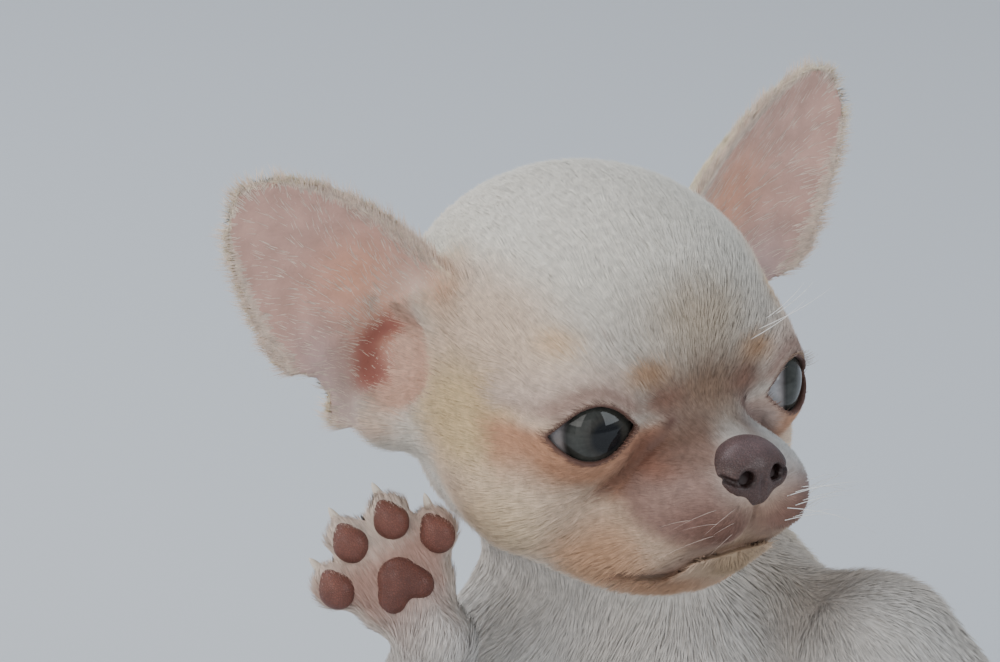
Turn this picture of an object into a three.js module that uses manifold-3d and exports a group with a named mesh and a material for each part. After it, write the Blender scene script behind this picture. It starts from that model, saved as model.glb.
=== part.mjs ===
// A chihuahua puppy of about seven weeks, life size, sitting on its haunches with its right forepaw raised.
// Millimetres. The floor is z = 0, the body faces -Y and the puppy's left is +X. The origin is on the floor in the
// middle of its seat, and the drawing's own origin is SEAT_AT ahead of that. The head has a frame of its own, x to
// its left, y to its back and z up from the middle of the skull. The solids reach to the tips of the coat.

import * as THREE from "three";
import { mergeVertices } from "three/addons/utils/BufferGeometryUtils.js";
import Module from "manifold-3d";

const wasm = await Module();
wasm.setup();

// Driving dimensions
const GAP = 0.3; // between two pieces that touch
const CUT = 0.45; // the same where a coarse net is cut
const SHORTEST_EDGE = 0.13;
const SAME_PLACE = 1e-3;
const DRAWN_APART = 0.05;
const CLAW_CUT = 0.6;
const SEAT_AT = 44; // how far back of the drawing's origin it sits
const HEAD_AT = [-6, -16, 118];
const HEAD_TURN = 50; // degrees to its left
const SKULL = { at: [0, 2.5, 1], size: [28.7, 29.2, 27.4] };
const SHOULDERS_AT = 8; // the forequarters stand this far to its left, over the planted leg

const EYE = { at: [15.1, -19, -1.8], radius: 8.2, look: [0.42, -0.905, 0.03] };
const LID = 1.2;
const FISSURE = { half: 6.5, top: 4.2, low: 4.1, tilt: -4, lift: 0.5 };

const EAR = { at: [27, 8, 3.5], long: 42.6, half: 14.9, along: [0.714, 0.207, 0.668], face: [0.36, -0.92, -0.1] };
const EAR_TIP_AT = 40.7;
const EAR_POSES = { right: { splay: -2, twist: 0, tip: 4 }, left: { splay: 0, twist: 15, tip: 6 } };

const LIPS = { at: -16.6, fall: 8.3, from: -42.5, long: 15 }; // height under the nose, and the fall going back
const MOUTH_CORNER = -23.5;
const MIDDLE_OF_MOUTH = -20;

const TOES = [[-6.6, 5], [-2.3, 8], [2.3, 8], [6.6, 5]];
const RAISED_TOES = [[-8.4, 2.4], [-3.5, 7.5], [3.4, 7.5], [8.6, 2.6]];
const TOE = 3.5;
const PAW_HEIGHT = 3.4; // middle of a planted paw above the floor, its sole and toes pressed flat on it
const CLAW = { long: 5.2, thick: 0.95, fan: 0.12 };
const VIEW = { azimuth: 15, elevation: 20 }; // the raised paw shows its pads to this side

const rad = THREE.MathUtils.degToRad;
const sharp = (x) => Math.min(Math.max(x, 0), 1);

// Forms: each gives the distance from a point to a surface, less than zero inside it

function ellipsoid([cx, cy, cz], [rx, ry, rz]) {
  return (x, y, z) => {
    const [u, v, w] = [(x - cx) / rx, (y - cy) / ry, (z - cz) / rz];
    const a = Math.sqrt(u * u + v * v + w * w);
    const b = Math.sqrt((u / rx) ** 2 + (v / ry) ** 2 + (w / rz) ** 2);
    return (a * (a - 1)) / Math.max(b, 1e-6);
  };
}

function rod([ax, ay, az], [bx, by, bz], ra, rb) {
  const [dx, dy, dz] = [bx - ax, by - ay, bz - az];
  const long = dx * dx + dy * dy + dz * dz;
  return (x, y, z) => {
    const [px, py, pz] = [x - ax, y - ay, z - az];
    const t = sharp((px * dx + py * dy + pz * dz) / long);
    const away = Math.sqrt((px - t * dx) ** 2 + (py - t * dy) ** 2 + (pz - t * dz) ** 2);
    return away - (ra + (rb - ra) * t);
  };
}

function softest(d, e, k) {
  const h = Math.max(k - Math.abs(d - e), 0) / k;
  return Math.min(d, e) - h * h * (k / 4);
}

const blend = (f, g, k) => (x, y, z) => softest(f(x, y, z), g(x, y, z), k);
const carve = (f, g, k) => (x, y, z) => -softest(-f(x, y, z), g(x, y, z), k);
const both = (f) => (x, y, z) => f(Math.abs(x), y, z);
const sided = (f, side) => (x, y, z) => f(x * side, y, z);
const grown = (f, by) => (x, y, z) => f(x, y, z) - by;
const nearest = (...forms) => (x, y, z) => Math.min(...forms.map((f) => f(x, y, z)));

// The axes of a frame as rows: across, along and over
function frameOf(forward, up) {
  const f = new THREE.Vector3(...forward).normalize();
  const s = new THREE.Vector3().crossVectors(f, new THREE.Vector3(...up)).normalize();
  const u = new THREE.Vector3().crossVectors(s, f);
  return [s.toArray(), f.toArray(), u.toArray()];
}

function placed(f, [cx, cy, cz], [s, t, u]) {
  return (x, y, z) => {
    const [px, py, pz] = [x - cx, y - cy, z - cz];
    return f(
      px * s[0] + py * s[1] + pz * s[2],
      px * t[0] + py * t[1] + pz * t[2],
      px * u[0] + py * u[1] + pz * u[2],
    );
  };
}

function placeOf([a, b, c], [cx, cy, cz], [s, t, u]) {
  return [
    cx + a * s[0] + b * t[0] + c * u[0],
    cy + a * s[1] + b * t[1] + c * u[1],
    cz + a * s[2] + b * t[2] + c * u[2],
  ];
}

const seenIn = (f, at, axes) => (x, y, z) => f(...placeOf([x, y, z], at, axes));

const [turnCos, turnSin] = [Math.cos(rad(HEAD_TURN)), Math.sin(rad(HEAD_TURN))];
const HEAD_AXES = [[turnCos, turnSin, 0], [-turnSin, turnCos, 0], [0, 0, 1]];
const fromHead = (q) => placeOf(q, HEAD_AT, HEAD_AXES);

// Head, in its own frame. The left half is drawn and the right half is its mirror image

function skull() {
  let d = ellipsoid(SKULL.at, SKULL.size);
  d = blend(d, ellipsoid([0, -8.5, 5], [20.5, 20.2, 20]), 8); // forehead
  d = blend(d, ellipsoid([16.5, -8.8, -13.3], [11.1, 13.2, 12.2]), 9); // cheek
  d = blend(d, ellipsoid([0, -12, -19], [15, 17, 10]), 8); // under the cheeks
  return blend(d, ellipsoid([13, -19, 5], [7.6, 7.2, 5.2]), 6); // brow
}

function muzzle() {
  const core = ellipsoid([0, -27, -11], [12.5, 13, 9.5]);
  const bridge = rod([0, -22, -5.5], [0, -36, -7.5], 6.5, 5.2);
  const pad = ellipsoid([5.7, -33.8, -11.9], [7.1, 8.8, 7.6]);
  const lip = ellipsoid([6.5, -28.5, -15.5], [6.3, 9.5, 9]);
  return blend(blend(blend(core, bridge, 4), pad, 3), lip, 3);
}

function jaw() {
  const chin = ellipsoid([0, -26, -20.6], [8.2, 11.6, 5.8]);
  const under = ellipsoid([0, -20, -23], [10.5, 11, 6.5]);
  return blend(blend(chin, under, 4), ellipsoid([0, -14.5, -21.5], [19, 15.5, 9.8]), 6);
}

function eyeAxes() {
  const out = new THREE.Vector3(...EYE.look).normalize();
  const side = new THREE.Vector3(0, 0, 1).cross(out).normalize();
  return [side.toArray(), new THREE.Vector3().crossVectors(out, side).toArray(), out.toArray()];
}

const EYE_AXES = eyeAxes();
const ball = (radius) => ellipsoid(EYE.at, [radius, radius, radius]);

function face() {
  let d = blend(skull(), muzzle(), 5);
  d = blend(d, jaw(), 2.5);
  d = blend(d, ball(EYE.radius + LID), 3);
  d = blend(d, ellipsoid([23.2, 7.2, 0.5], [6.8, 7, 12.5]), 5); // root of the ear
  d = blend(d, ellipsoid([27, 11.6, -7.2], [6.8, 5, 6.1]), 4); // lobe
  const fold = rod([8.4, -29.4, -2], [15.4, -25.6, -11.5], 0, 0);
  return both((x, y, z) => d(x, y, z) + 0.9 * Math.exp(-((fold(x, y, z) / 1.3) ** 2)));
}

// An ear's frame: along its length, across it towards the crown, and out of its cup
function earAxes({ splay, twist, tip }) {
  const turn = (a, b, degrees) => {
    const [c, s] = [Math.cos(rad(degrees)), Math.sin(rad(degrees))];
    const [p, q] = [a.clone(), b.clone()];
    a.copy(p).multiplyScalar(c).addScaledVector(q, s);
    b.copy(q).multiplyScalar(c).addScaledVector(p, -s);
  };
  const along = new THREE.Vector3(...EAR.along).normalize();
  const out = new THREE.Vector3(...EAR.face);
  out.addScaledVector(along, -out.dot(along)).normalize();
  const wide = new THREE.Vector3().crossVectors(out, along);
  turn(along, out, tip);
  turn(along, wide, -splay);
  turn(wide, out, -twist);
  return [along.toArray(), wide.toArray(), out.toArray()];
}

// The sheet of the ear: its half width and the middle of that at each part of its length, and its cupped middle
const earHalf = (t) => EAR.half * Math.max(1 - Math.min(t, 0.98) ** 2.4, 0.02) ** 0.75;
const earMiddle = (t) => -2.6 + 7.6 * t - 2.4 * t * t;

function earCup(a, b) {
  const t = Math.min(Math.max(a / EAR.long, 0), 1.15);
  const k = Math.min(Math.max((b - earMiddle(t)) / earHalf(t), -1.15), 1.15);
  const depth = 7.5 * (1 - Math.min(t, 1)) ** 1.3 + 1.2;
  return { middle: 1.5 - depth * (1 - k * k), slope: Math.hypot(1, (2 * depth * k) / earHalf(t)) };
}

function earSheet(a, b, c) {
  const t = Math.min(Math.max(a / EAR.long, 0), 1.15);
  const low = Math.max(2.5 - a, 0) / 8.5;
  const s = Math.abs(b - earMiddle(t)) / EAR.half;
  const outline = s ** 1.333 + t ** 2.4 + low * low - 1;
  const across = (1.333 / EAR.half) * Math.max(s, 0.05) ** 0.333;
  const along = (2.4 / EAR.long) * t ** 1.4 + (2 / 8.5) * low;
  const edge = -softest(-outline / Math.max(Math.hypot(across, along), 0.04), EAR_TIP_AT - a, 6);
  const cup = earCup(a, b);
  const thick = 0.85 + 0.9 * (1 - Math.min(t * 2.2, 1));
  const sheet = Math.abs(c - cup.middle) / cup.slope - thick;
  const notch = Math.hypot(a - 7.6, b + 19.6) - 5.4;
  return -softest(softest(-sheet, -edge, 1), notch, 5);
}

const earHole = ellipsoid([1.6, -3.6, 1.5], [6, 7.3, 6.6]);

function onEar(form, side) {
  const axes = earAxes(side > 0 ? EAR_POSES.left : EAR_POSES.right);
  return sided(placed(form, EAR.at, axes), side);
}

function headForm(withEars) {
  const ears = (form) => {
    const [left, right] = [onEar(form, 1), onEar(form, -1)];
    return (x, y, z) => (x > 0 ? left(x, y, z) : right(x, y, z));
  };
  const d = withEars ? blend(FACE, ears(earSheet), 3) : FACE;
  return carve(d, ears(earHole), 4);
}

function noseForm() {
  const d = blend(
    ellipsoid([0, -38.2, -6], [5.7, 4.8, 4.4]),
    ellipsoid([3.3, -39.7, -6.9], [2.7, 3, 2.8]), // wing
    1.5,
  );
  return both(blend(d, ellipsoid([0, -40, -9.2], [2.6, 2.8, 2.4]), 1.5));
}

// Body

const neck = rod(fromHead([-3, 9, -14]), [-3, 3, 80], 18.5, 17);

function torsoForm() {
  let d = ellipsoid([SHOULDERS_AT, -5, 59.5], [25, 28, 26]); // chest
  d = blend(d, rod([4, 5, 62], [0, 44, 30], 21.5, 24), 12); // back
  d = blend(d, ellipsoid([2, 14, 36], [28, 28, 26]), 10); // belly
  return blend(d, ellipsoid([0, SEAT_AT, 23], [27, 25, 25]), 10); // rump
}

const thigh = rod([18, 40, 27], [33, 9, 25], 19, 11);
const shank = blend(rod([34, 9, 23], [34, 37, 8], 9, 6), rod([34, 38, 5.3], [38, 8, 5.1], 6.2, 5.8), 3);

function pawForm(toes) {
  let d = ellipsoid([0, -2, 1.2], [8, 9, 5.6]);
  for (const [x, y] of toes) d = blend(d, rod([x * 0.55, y * 0.3 - 1, 1.6], [x, y, -0.3], 3.9, TOE), 1.3);
  return d;
}

// The side that the raised paw shows its pads to: rightwards, upwards and towards that side
function viewAxes() {
  const [a, e] = [rad(VIEW.azimuth), rad(VIEW.elevation)];
  const back = new THREE.Vector3(Math.sin(a) * Math.cos(e), -Math.cos(a) * Math.cos(e), Math.sin(e));
  const right = new THREE.Vector3(Math.cos(a), Math.sin(a), 0);
  return [right, new THREE.Vector3().crossVectors(back, right), back];
}

function raisedPaw() {
  const [right, up, back] = viewAxes();
  const at = new THREE.Vector3(...HEAD_AT)
    .addScaledVector(right, -29.2)
    .addScaledVector(up, -32.6)
    .addScaledVector(back, 17);
  const forward = right.clone().multiplyScalar(-0.5).addScaledVector(up, 0.866);
  return { at: at.toArray(), axes: frameOf(forward.toArray(), back.negate().toArray()), toes: RAISED_TOES };
}

const PAWS = {
  foreleg_left_paw: { at: [58, -41, PAW_HEIGHT], axes: frameOf([0.12, -1, 0], [0, 0, 1]), toes: TOES },
  foreleg_right_paw: raisedPaw(),
  hindleg_left_paw: { at: [39, 1, PAW_HEIGHT], axes: frameOf([0.22, -1, 0], [0, 0, 1]), toes: TOES },
  hindleg_right_paw: { at: [-39, 1, PAW_HEIGHT], axes: frameOf([-0.22, -1, 0], [0, 0, 1]), toes: TOES },
};
const RAISED = PAWS.foreleg_right_paw;

function plantedLeg() {
  const upper = rod([39.5, -15.3, 71.9], [63, -16, 50], 13.5, 9.5);
  const lower = rod([63, -17, 49], [58, -33, 15], 8.8, 6.2);
  return blend(blend(upper, lower, 4), rod([58, -33, 15], [58, -39, 7], 6.2, 5.6), 3);
}

function raisedLeg() {
  const wrist = placeOf([0, -12.5, 0.5], RAISED.at, RAISED.axes);
  return blend(rod([-14, -12, 72], [-29, -38, 56], 13, 9.5), rod([-29, -40, 56], wrist, 8.8, 6.2), 4);
}

function tailForm() {
  const points = [[0, 62, 16], [6, 74, 8.5], [18, 79, 4.8], [33, 77, 3.9], [46, 69, 2.7]];
  const radii = [9, 7, 5.5, 4.6, 3.4];
  const joint = (i) => rod(points[i], points[i + 1], radii[i], radii[i + 1]);
  return [1, 2, 3].reduce((d, i) => blend(d, joint(i), 2), joint(0));
}

const FACE = face();
const OWN = {
  head: placed(FACE, HEAD_AT, HEAD_AXES),
  neck,
  torso: torsoForm(),
  tail: tailForm(),
  foreleg_left: plantedLeg(),
  foreleg_right: raisedLeg(),
  thigh_left: thigh,
  thigh_right: sided(thigh, -1),
  shank_left: shank,
  shank_right: sided(shank, -1),
};
for (const [name, { at, axes, toes }] of Object.entries(PAWS)) OWN[name] = placed(pawForm(toes), at, axes);

// The whole puppy as one form, each limb run softly into what it grows from
function wholeForm(head) {
  let d = blend(placed(head, HEAD_AT, HEAD_AXES), OWN.neck, 7);
  d = blend(d, OWN.torso, 12);
  d = blend(d, OWN.foreleg_left, 7);
  for (const side of ["left", "right"]) {
    d = blend(d, OWN["thigh_" + side], 9);
    d = blend(d, OWN["shank_" + side], 4);
    d = blend(d, OWN[`hindleg_${side}_paw`], 3);
  }
  d = blend(blend(d, OWN.foreleg_left_paw, 3), OWN.tail, 6);
  const arm = blend(OWN.foreleg_right, OWN.foreleg_right_paw, 3);
  const shoulder = rod([-14, -12, 72], [-14, -13, 72], 20, 20);
  return (x, y, z) => {
    const softness = Math.min(Math.max(7 - 0.4 * shoulder(x, y, z), 0.5), 7); // none near the cheek
    return softest(d(x, y, z), arm(x, y, z), softness);
  };
}

const WHOLE = wholeForm(headForm(true));
const EARLESS = wholeForm(headForm(false));

// A closed net of triangles on the surface of a form. Its points are set on a grid, which draw may crowd
// together where the form is fine, and are then moved onto the surface

const CORNERS = [...Array(8).keys()].map((i) => [i & 1, (i >> 1) & 1, i >> 2]);
const EDGES = CORNERS.flatMap((_, a) => [1, 2, 4].filter((bit) => !(a & bit)).map((bit) => [a, a | bit]));

function settle(form, point, most) {
  const h = 0.05;
  for (let round = 0; round < 3; round++) {
    const [x, y, z] = point;
    const g = [
      form(x + h, y, z) - form(x - h, y, z),
      form(x, y + h, z) - form(x, y - h, z),
      form(x, y, z + h) - form(x, y, z - h),
    ];
    const steep = Math.hypot(...g) || 1;
    const move = Math.min(Math.max(form(x, y, z), -most), most);
    for (let i = 0; i < 3; i++) point[i] -= (move * g[i]) / steep;
  }
}

function net(form, low, high, steps, draw = (p) => p) {
  const size = low.map((a, i) => Math.ceil((high[i] - a) / steps[i]) + 1);
  const [nx, ny, nz] = size;
  const at = (i, j, k) => i + nx * (j + ny * k);
  const gridPoint = (u) => draw(u.map((n, i) => low[i] + n * steps[i]));
  const values = new Float64Array(nx * ny * nz);
  for (let k = 0; k < nz; k++)
    for (let j = 0; j < ny; j++)
      for (let i = 0; i < nx; i++) {
        const rim = !i || !j || !k || i === nx - 1 || j === ny - 1 || k === nz - 1;
        const d = form(...gridPoint([i, j, k]));
        values[at(i, j, k)] = rim ? Math.max(d, 0.1) : d;
      }
  const pointOf = new Int32Array(values.length).fill(-1);
  const points = [];
  for (let k = 0; k < nz - 1; k++)
    for (let j = 0; j < ny - 1; j++)
      for (let i = 0; i < nx - 1; i++) {
        const d = CORNERS.map(([a, b, c]) => values[at(i + a, j + b, k + c)]);
        const cuts = EDGES.filter(([a, b]) => d[a] < 0 !== d[b] < 0);
        if (!cuts.length) continue;
        const sum = [0, 0, 0];
        for (const [a, b] of cuts) {
          const t = d[a] / (d[a] - d[b]);
          for (let n = 0; n < 3; n++) sum[n] += CORNERS[a][n] + t * (CORNERS[b][n] - CORNERS[a][n]);
        }
        const point = gridPoint([i, j, k].map((n, m) => n + sum[m] / cuts.length));
        const rim = !i || !j || !k || i === nx - 2 || j === ny - 2 || k === nz - 2;
        if (!rim) settle(form, point, 0.3 * Math.min(...steps));
        pointOf[at(i, j, k)] = points.length;
        points.push(point);
      }
  const index = [];
  const apart = (a, b) => Math.hypot(...points[a].map((n, i) => n - points[b][i]));
  const quad = (a, b, c, d) => {
    if (apart(a, c) < apart(b, d)) index.push(a, b, c, a, c, d);
    else index.push(a, b, d, b, c, d);
  };
  const unit = [[1, 0, 0], [0, 1, 0], [0, 0, 1]];
  for (let k = 0; k < nz - 1; k++)
    for (let j = 0; j < ny - 1; j++)
      for (let i = 0; i < nx - 1; i++)
        for (let axis = 0; axis < 3; axis++) {
          const [e, f, g] = [unit[axis], unit[(axis + 1) % 3], unit[(axis + 2) % 3]];
          if ([i, j, k].some((n, m) => n === 0 && m !== axis)) continue;
          const inside = values[at(i, j, k)] < 0;
          if (inside === values[at(i + e[0], j + e[1], k + e[2])] < 0) continue;
          const cell = (m, n) =>
            pointOf[at(i - m * f[0] - n * g[0], j - m * f[1] - n * g[1], k - m * f[2] - n * g[2])];
          const ring = [cell(1, 1), cell(0, 1), cell(0, 0), cell(1, 0)];
          quad(...(inside ? ring : ring.reverse()));
        }
  return new THREE.BufferGeometry()
    .setAttribute("position", new THREE.Float32BufferAttribute(points.flat(), 3))
    .setIndex(index);
}

// Solids

function sharedPoints(geometry) {
  const bare = geometry.clone();
  bare.deleteAttribute("normal");
  bare.deleteAttribute("uv");
  return mergeVertices(bare, 1e-4);
}

function solid(geometry) {
  const bare = geometry.index && !geometry.attributes.normal;
  const merged = bare ? geometry : sharedPoints(geometry);
  return new wasm.Manifold(
    new wasm.Mesh({
      numProp: 3,
      vertProperties: merged.attributes.position.array,
      triVerts: new Uint32Array(merged.index.array),
    }),
  );
}

// The same closed surface with its shortest edges drawn together, where no face turns over by it
function withoutSlivers(points, faces, shortest) {
  const around = points.map(() => new Set());
  faces.forEach((face, i) => face.forEach((n) => around[n].add(i)));
  const place = points.map((q) => new THREE.Vector3(...q));
  const neighbours = (n) => new Set([...around[n]].flatMap((i) => faces[i]).filter((m) => m !== n));
  const normal = ([a, b, c]) =>
    new THREE.Vector3().crossVectors(place[b].clone().sub(place[a]), place[c].clone().sub(place[a]));
  function joins(a, b) {
    const nearB = neighbours(b);
    if ([...neighbours(a)].filter((n) => nearB.has(n)).length !== 2) return false;
    for (const i of around[b]) {
      if (faces[i].includes(a)) continue;
      const before = normal(faces[i]);
      const after = normal(faces[i].map((n) => (n === b ? a : n)));
      if (before.length() > 1e-3 && before.dot(after) < 0.3 * before.length() * after.length()) return false;
    }
    return true;
  }
  for (let pass = 0; pass < 4; pass++) {
    for (let i = 0; i < faces.length; i++) {
      for (let k = 0; faces[i] && k < 3; k++) {
        const [a, b] = [faces[i][k], faces[i][(k + 1) % 3]];
        if (place[a].distanceTo(place[b]) > shortest || !joins(a, b)) continue;
        for (const j of [...around[b]]) {
          if (faces[j].includes(a)) {
            faces[j].forEach((n) => around[n].delete(j));
            faces[j] = null;
          } else {
            faces[j] = faces[j].map((n) => (n === b ? a : n));
            around[a].add(j);
          }
        }
        around[b].clear();
      }
    }
  }
  return faces.filter(Boolean);
}

// Points of one surface that lie on one another, each drawn back a little towards its own neighbours
function drawApart(points, faces) {
  const sharing = new Map();
  for (const n of new Set(faces.flat())) {
    const key = points[n].map((x) => Math.round(x / SAME_PLACE)).join();
    sharing.set(key, [...(sharing.get(key) ?? []), n]);
  }
  for (const n of [...sharing.values()].filter((list) => list.length > 1).flat()) {
    const near = faces.filter((face) => face.includes(n)).flat().filter((m) => m !== n);
    const middle = [0, 1, 2].map((i) => near.reduce((sum, m) => sum + points[m][i], 0) / near.length);
    const away = Math.hypot(...middle.map((x, i) => x - points[n][i]));
    points[n] = points[n].map((x, i) => x + ((middle[i] - x) * DRAWN_APART) / away);
  }
}

function geometryOf(made) {
  const largest = made.decompose().sort((a, b) => b.volume() - a.volume())[0];
  const { vertProperties, triVerts } = largest.getMesh();
  const rows = (list) => Array.from({ length: list.length / 3 }, (_, i) => [...list.subarray(3 * i, 3 * i + 3)]);
  const points = rows(vertProperties);
  const faces = withoutSlivers(points, rows(triVerts), SHORTEST_EDGE);
  drawApart(points, faces);
  return new THREE.BufferGeometry()
    .setAttribute("position", new THREE.Float32BufferAttribute(points.flat(), 3))
    .setIndex(faces.flat());
}

const ABOVE_FLOOR = solid(new THREE.BoxGeometry(400, 400, 400).translate(0, 0, 200));

// Where a form reaches, from a coarse look through the puppy's whole space
function reach(form, look = 5) {
  const box = new THREE.Box3();
  for (let x = -75; x <= 80; x += look)
    for (let y = -75; y <= 95; y += look)
      for (let z = -5; z <= 180; z += look) if (form(x, y, z) < 2) box.expandByPoint(new THREE.Vector3(x, y, z));
  box.expandByScalar(look + 3);
  return [box.min.toArray(), box.max.toArray()];
}

// A closed net moved outwards by a distance
function swollen(geometry, by) {
  const made = geometry.clone();
  made.computeVertexNormals();
  const { position, normal } = made.attributes;
  for (let i = 0; i < position.count; i++) {
    const n = new THREE.Vector3().fromBufferAttribute(normal, i);
    const p = new THREE.Vector3().fromBufferAttribute(position, i).addScaledVector(n, by);
    position.setXYZ(i, ...p);
  }
  made.deleteAttribute("normal");
  return made;
}

// The space that lies nearer to one form than to the others
function nearer(own, others) {
  return (x, y, z) => own(x, y, z) - others(x, y, z);
}

function othersThan(name) {
  return nearest(...Object.keys(OWN).filter((n) => n !== name).map((n) => OWN[n]));
}

// The share of the whole that belongs to one form, clear of the shares cut before it
const cutters = [];
function share(name, step, partStep) {
  const part = nearer(OWN[name], othersThan(name));
  const [low, high] = reach((x, y, z) => Math.max(part(x, y, z), WHOLE(x, y, z)));
  const region = net(part, low, high, [partStep, partStep, partStep]);
  let made = solid(net(WHOLE, low, high, [step, step, step])).intersect(solid(region));
  for (const cutter of cutters) made = made.subtract(cutter);
  cutters.push(solid(swollen(region, CUT)));
  return made.intersect(ABOVE_FLOOR);
}

// Materials

const paint = (color, roughness) => new THREE.MeshStandardMaterial({ color, roughness, metalness: 0 });
const COAT = paint(0xd8c3a5, 0.9);
const EAR_SKIN = paint(0xe0b9a6, 0.8);
const NOSE_SKIN = paint(0x5b3f40, 0.45);
const PAD_SKIN = paint(0x8a5a50, 0.7);
const EYE_GLASS = paint(0x1d1f26, 0.08);
const CLAW_HORN = paint(0xd9cdbf, 0.5);

const puppy = new THREE.Group();
const figure = new THREE.Group();
const head = new THREE.Group();
figure.position.set(0, -SEAT_AT, 0);
head.position.set(...HEAD_AT);
head.rotation.z = rad(HEAD_TURN);
puppy.add(figure);
figure.add(head);

function add(group, name, made, material) {
  const mesh = new THREE.Mesh(made.isBufferGeometry ? made : geometryOf(made), material);
  mesh.name = name;
  group.add(mesh);
  return mesh;
}

// Head: lids over the eyes, sockets for the eyeballs and the nose, and the line of the mouth

function eyeball(side, grow) {
  const [x, y, z] = EYE.at;
  return new THREE.SphereGeometry(EYE.radius + grow, 18, 12).rotateX(Math.PI / 2).translate(x * side, y, z);
}

function fissure(side) {
  const points = [];
  const arc = (t, bow, lean) => bow * (1 - t * t) * (1 - lean * t);
  for (let i = 0; i <= 12; i++) {
    const t = -1 + i / 6;
    points.push(new THREE.Vector2(FISSURE.half * t, -arc(t, FISSURE.low, -0.05)));
  }
  for (let i = 11; i > 0; i--) {
    const t = -1 + i / 6;
    points.push(new THREE.Vector2(FISSURE.half * t, arc(t, FISSURE.top, 0.22)));
  }
  const shape = new THREE.ExtrudeGeometry(new THREE.Shape(points), { depth: 10, bevelEnabled: false });
  const [s, u, o] = EYE_AXES.map((a) => new THREE.Vector3(...a));
  shape.translate(0, 0, 3).rotateZ(rad(FISSURE.tilt)).translate(0, FISSURE.lift, 0);
  shape.applyMatrix4(new THREE.Matrix4().makeBasis(s, u, o)).translate(...EYE.at);
  return side > 0 ? shape : mirrored(shape);
}

function mirrored(geometry) {
  const made = geometry.index ? geometry.toNonIndexed() : geometry.clone();
  made.scale(-1, 1, 1);
  const a = made.attributes.position;
  for (let i = 0; i < a.count; i += 3) {
    const [p, q] = [i + 1, i + 2].map((n) => new THREE.Vector3().fromBufferAttribute(a, n));
    a.setXYZ(i + 1, ...q).setXYZ(i + 2, ...p);
  }
  return made;
}

function lipHeight(y) {
  const t = sharp((y - LIPS.from) / LIPS.long);
  return LIPS.at - LIPS.fall * t * t * (3 - 2 * t);
}

// The mouth line lies where the face, seen from its left, has the lips' height
function mouthLine() {
  let front = -60; // well ahead of the nose
  while (FACE(0, front, LIPS.at) > 0.01) front += 0.8 * FACE(0, front, LIPS.at);
  const points = [new THREE.Vector3(0, front, LIPS.at)];
  for (let i = 1; i <= 12; i++) {
    const y = front + (MOUTH_CORNER - front) * (i / 12) ** 2;
    const z = lipHeight(y);
    let x = 30; // well to the left of the jaw
    while (x > 0 && FACE(x, y, z) > 0.01) x -= 0.8 * FACE(x, y, z);
    points.push(new THREE.Vector3(x, y, z));
    points.unshift(new THREE.Vector3(-x, y, z));
  }
  const section = new THREE.Shape([
    new THREE.Vector2(0.45, -1.1),
    new THREE.Vector2(-0.45, -1.1),
    new THREE.Vector2(-0.12, 1.2),
    new THREE.Vector2(0.12, 1.2),
  ]);
  return sweep(points, section);
}

// A section swept along points that lie on the head, its y axis always towards the middle of the mouth
function sweep(points, section) {
  const outline = section.getPoints();
  const n = outline.length;
  const place = [];
  points.forEach((p, i) => {
    const [before, after] = [points[Math.max(i - 1, 0)], points[Math.min(i + 1, points.length - 1)]];
    const run = after.clone().sub(before).normalize();
    const inward = new THREE.Vector3(-p.x, MIDDLE_OF_MOUTH - p.y, 0).normalize();
    const over = new THREE.Vector3().crossVectors(inward, run).normalize();
    const narrow = i === 0 || i === points.length - 1 ? 0.25 : 1;
    for (const q of outline) {
      place.push(p.clone().addScaledVector(over, q.x * narrow).addScaledVector(inward, q.y * narrow));
    }
  });
  const index = [];
  for (let i = 0; i < points.length - 1; i++)
    for (let j = 0; j < n; j++) {
      const [a, b] = [i * n + j, i * n + ((j + 1) % n)];
      index.push(a, b, b + n, a, b + n, a + n);
    }
  const last = (points.length - 1) * n;
  for (let j = 1; j < n - 1; j++) {
    index.push(0, j + 1, j);
    index.push(last, last + j, last + j + 1);
  }
  const geometry = new THREE.BufferGeometry().setFromPoints(place).setIndex(index);
  return facingOut(geometry);
}

function facingOut(geometry) {
  if (solid(geometry).volume() > 0) return geometry;
  const index = [...geometry.index.array];
  for (let i = 0; i < index.length; i += 3) [index[i + 1], index[i + 2]] = [index[i + 2], index[i + 1]];
  return geometry.setIndex(index);
}

// Grid points, counted from the middle of the face, crowd together near it and spread out behind it
const FACE_GRID = [[-12, -10, -12], [12, 18, 15], [1, 1, 1]];
function drawToFace(q) {
  const centre = [0, -30, -8];
  const r = Math.hypot(...q);
  const [fine, coarse, near, ramp] = [2.3, 8, 12, 5];
  const over = Math.max(r - near / fine, 0);
  const t = Math.min(over / ramp, 1);
  const far = near + fine * over + (coarse - fine) * (ramp * t * t * 0.5 + Math.max(over - ramp, 0));
  const scale = over > 0 ? far / r : fine;
  return q.map((n, i) => centre[i] + n * scale);
}

const NOSE_BOX = [[-9, -46, -14], [9, -32, 0], [1.5, 1.5, 1.5]]; // low and high corner of its net, and its steps
const HEAD_PLACE = new THREE.Matrix4().makeRotationZ(rad(HEAD_TURN)).setPosition(...HEAD_AT);
const WHOLE_FROM_HEAD = seenIn(WHOLE, HEAD_AT, HEAD_AXES);

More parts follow.
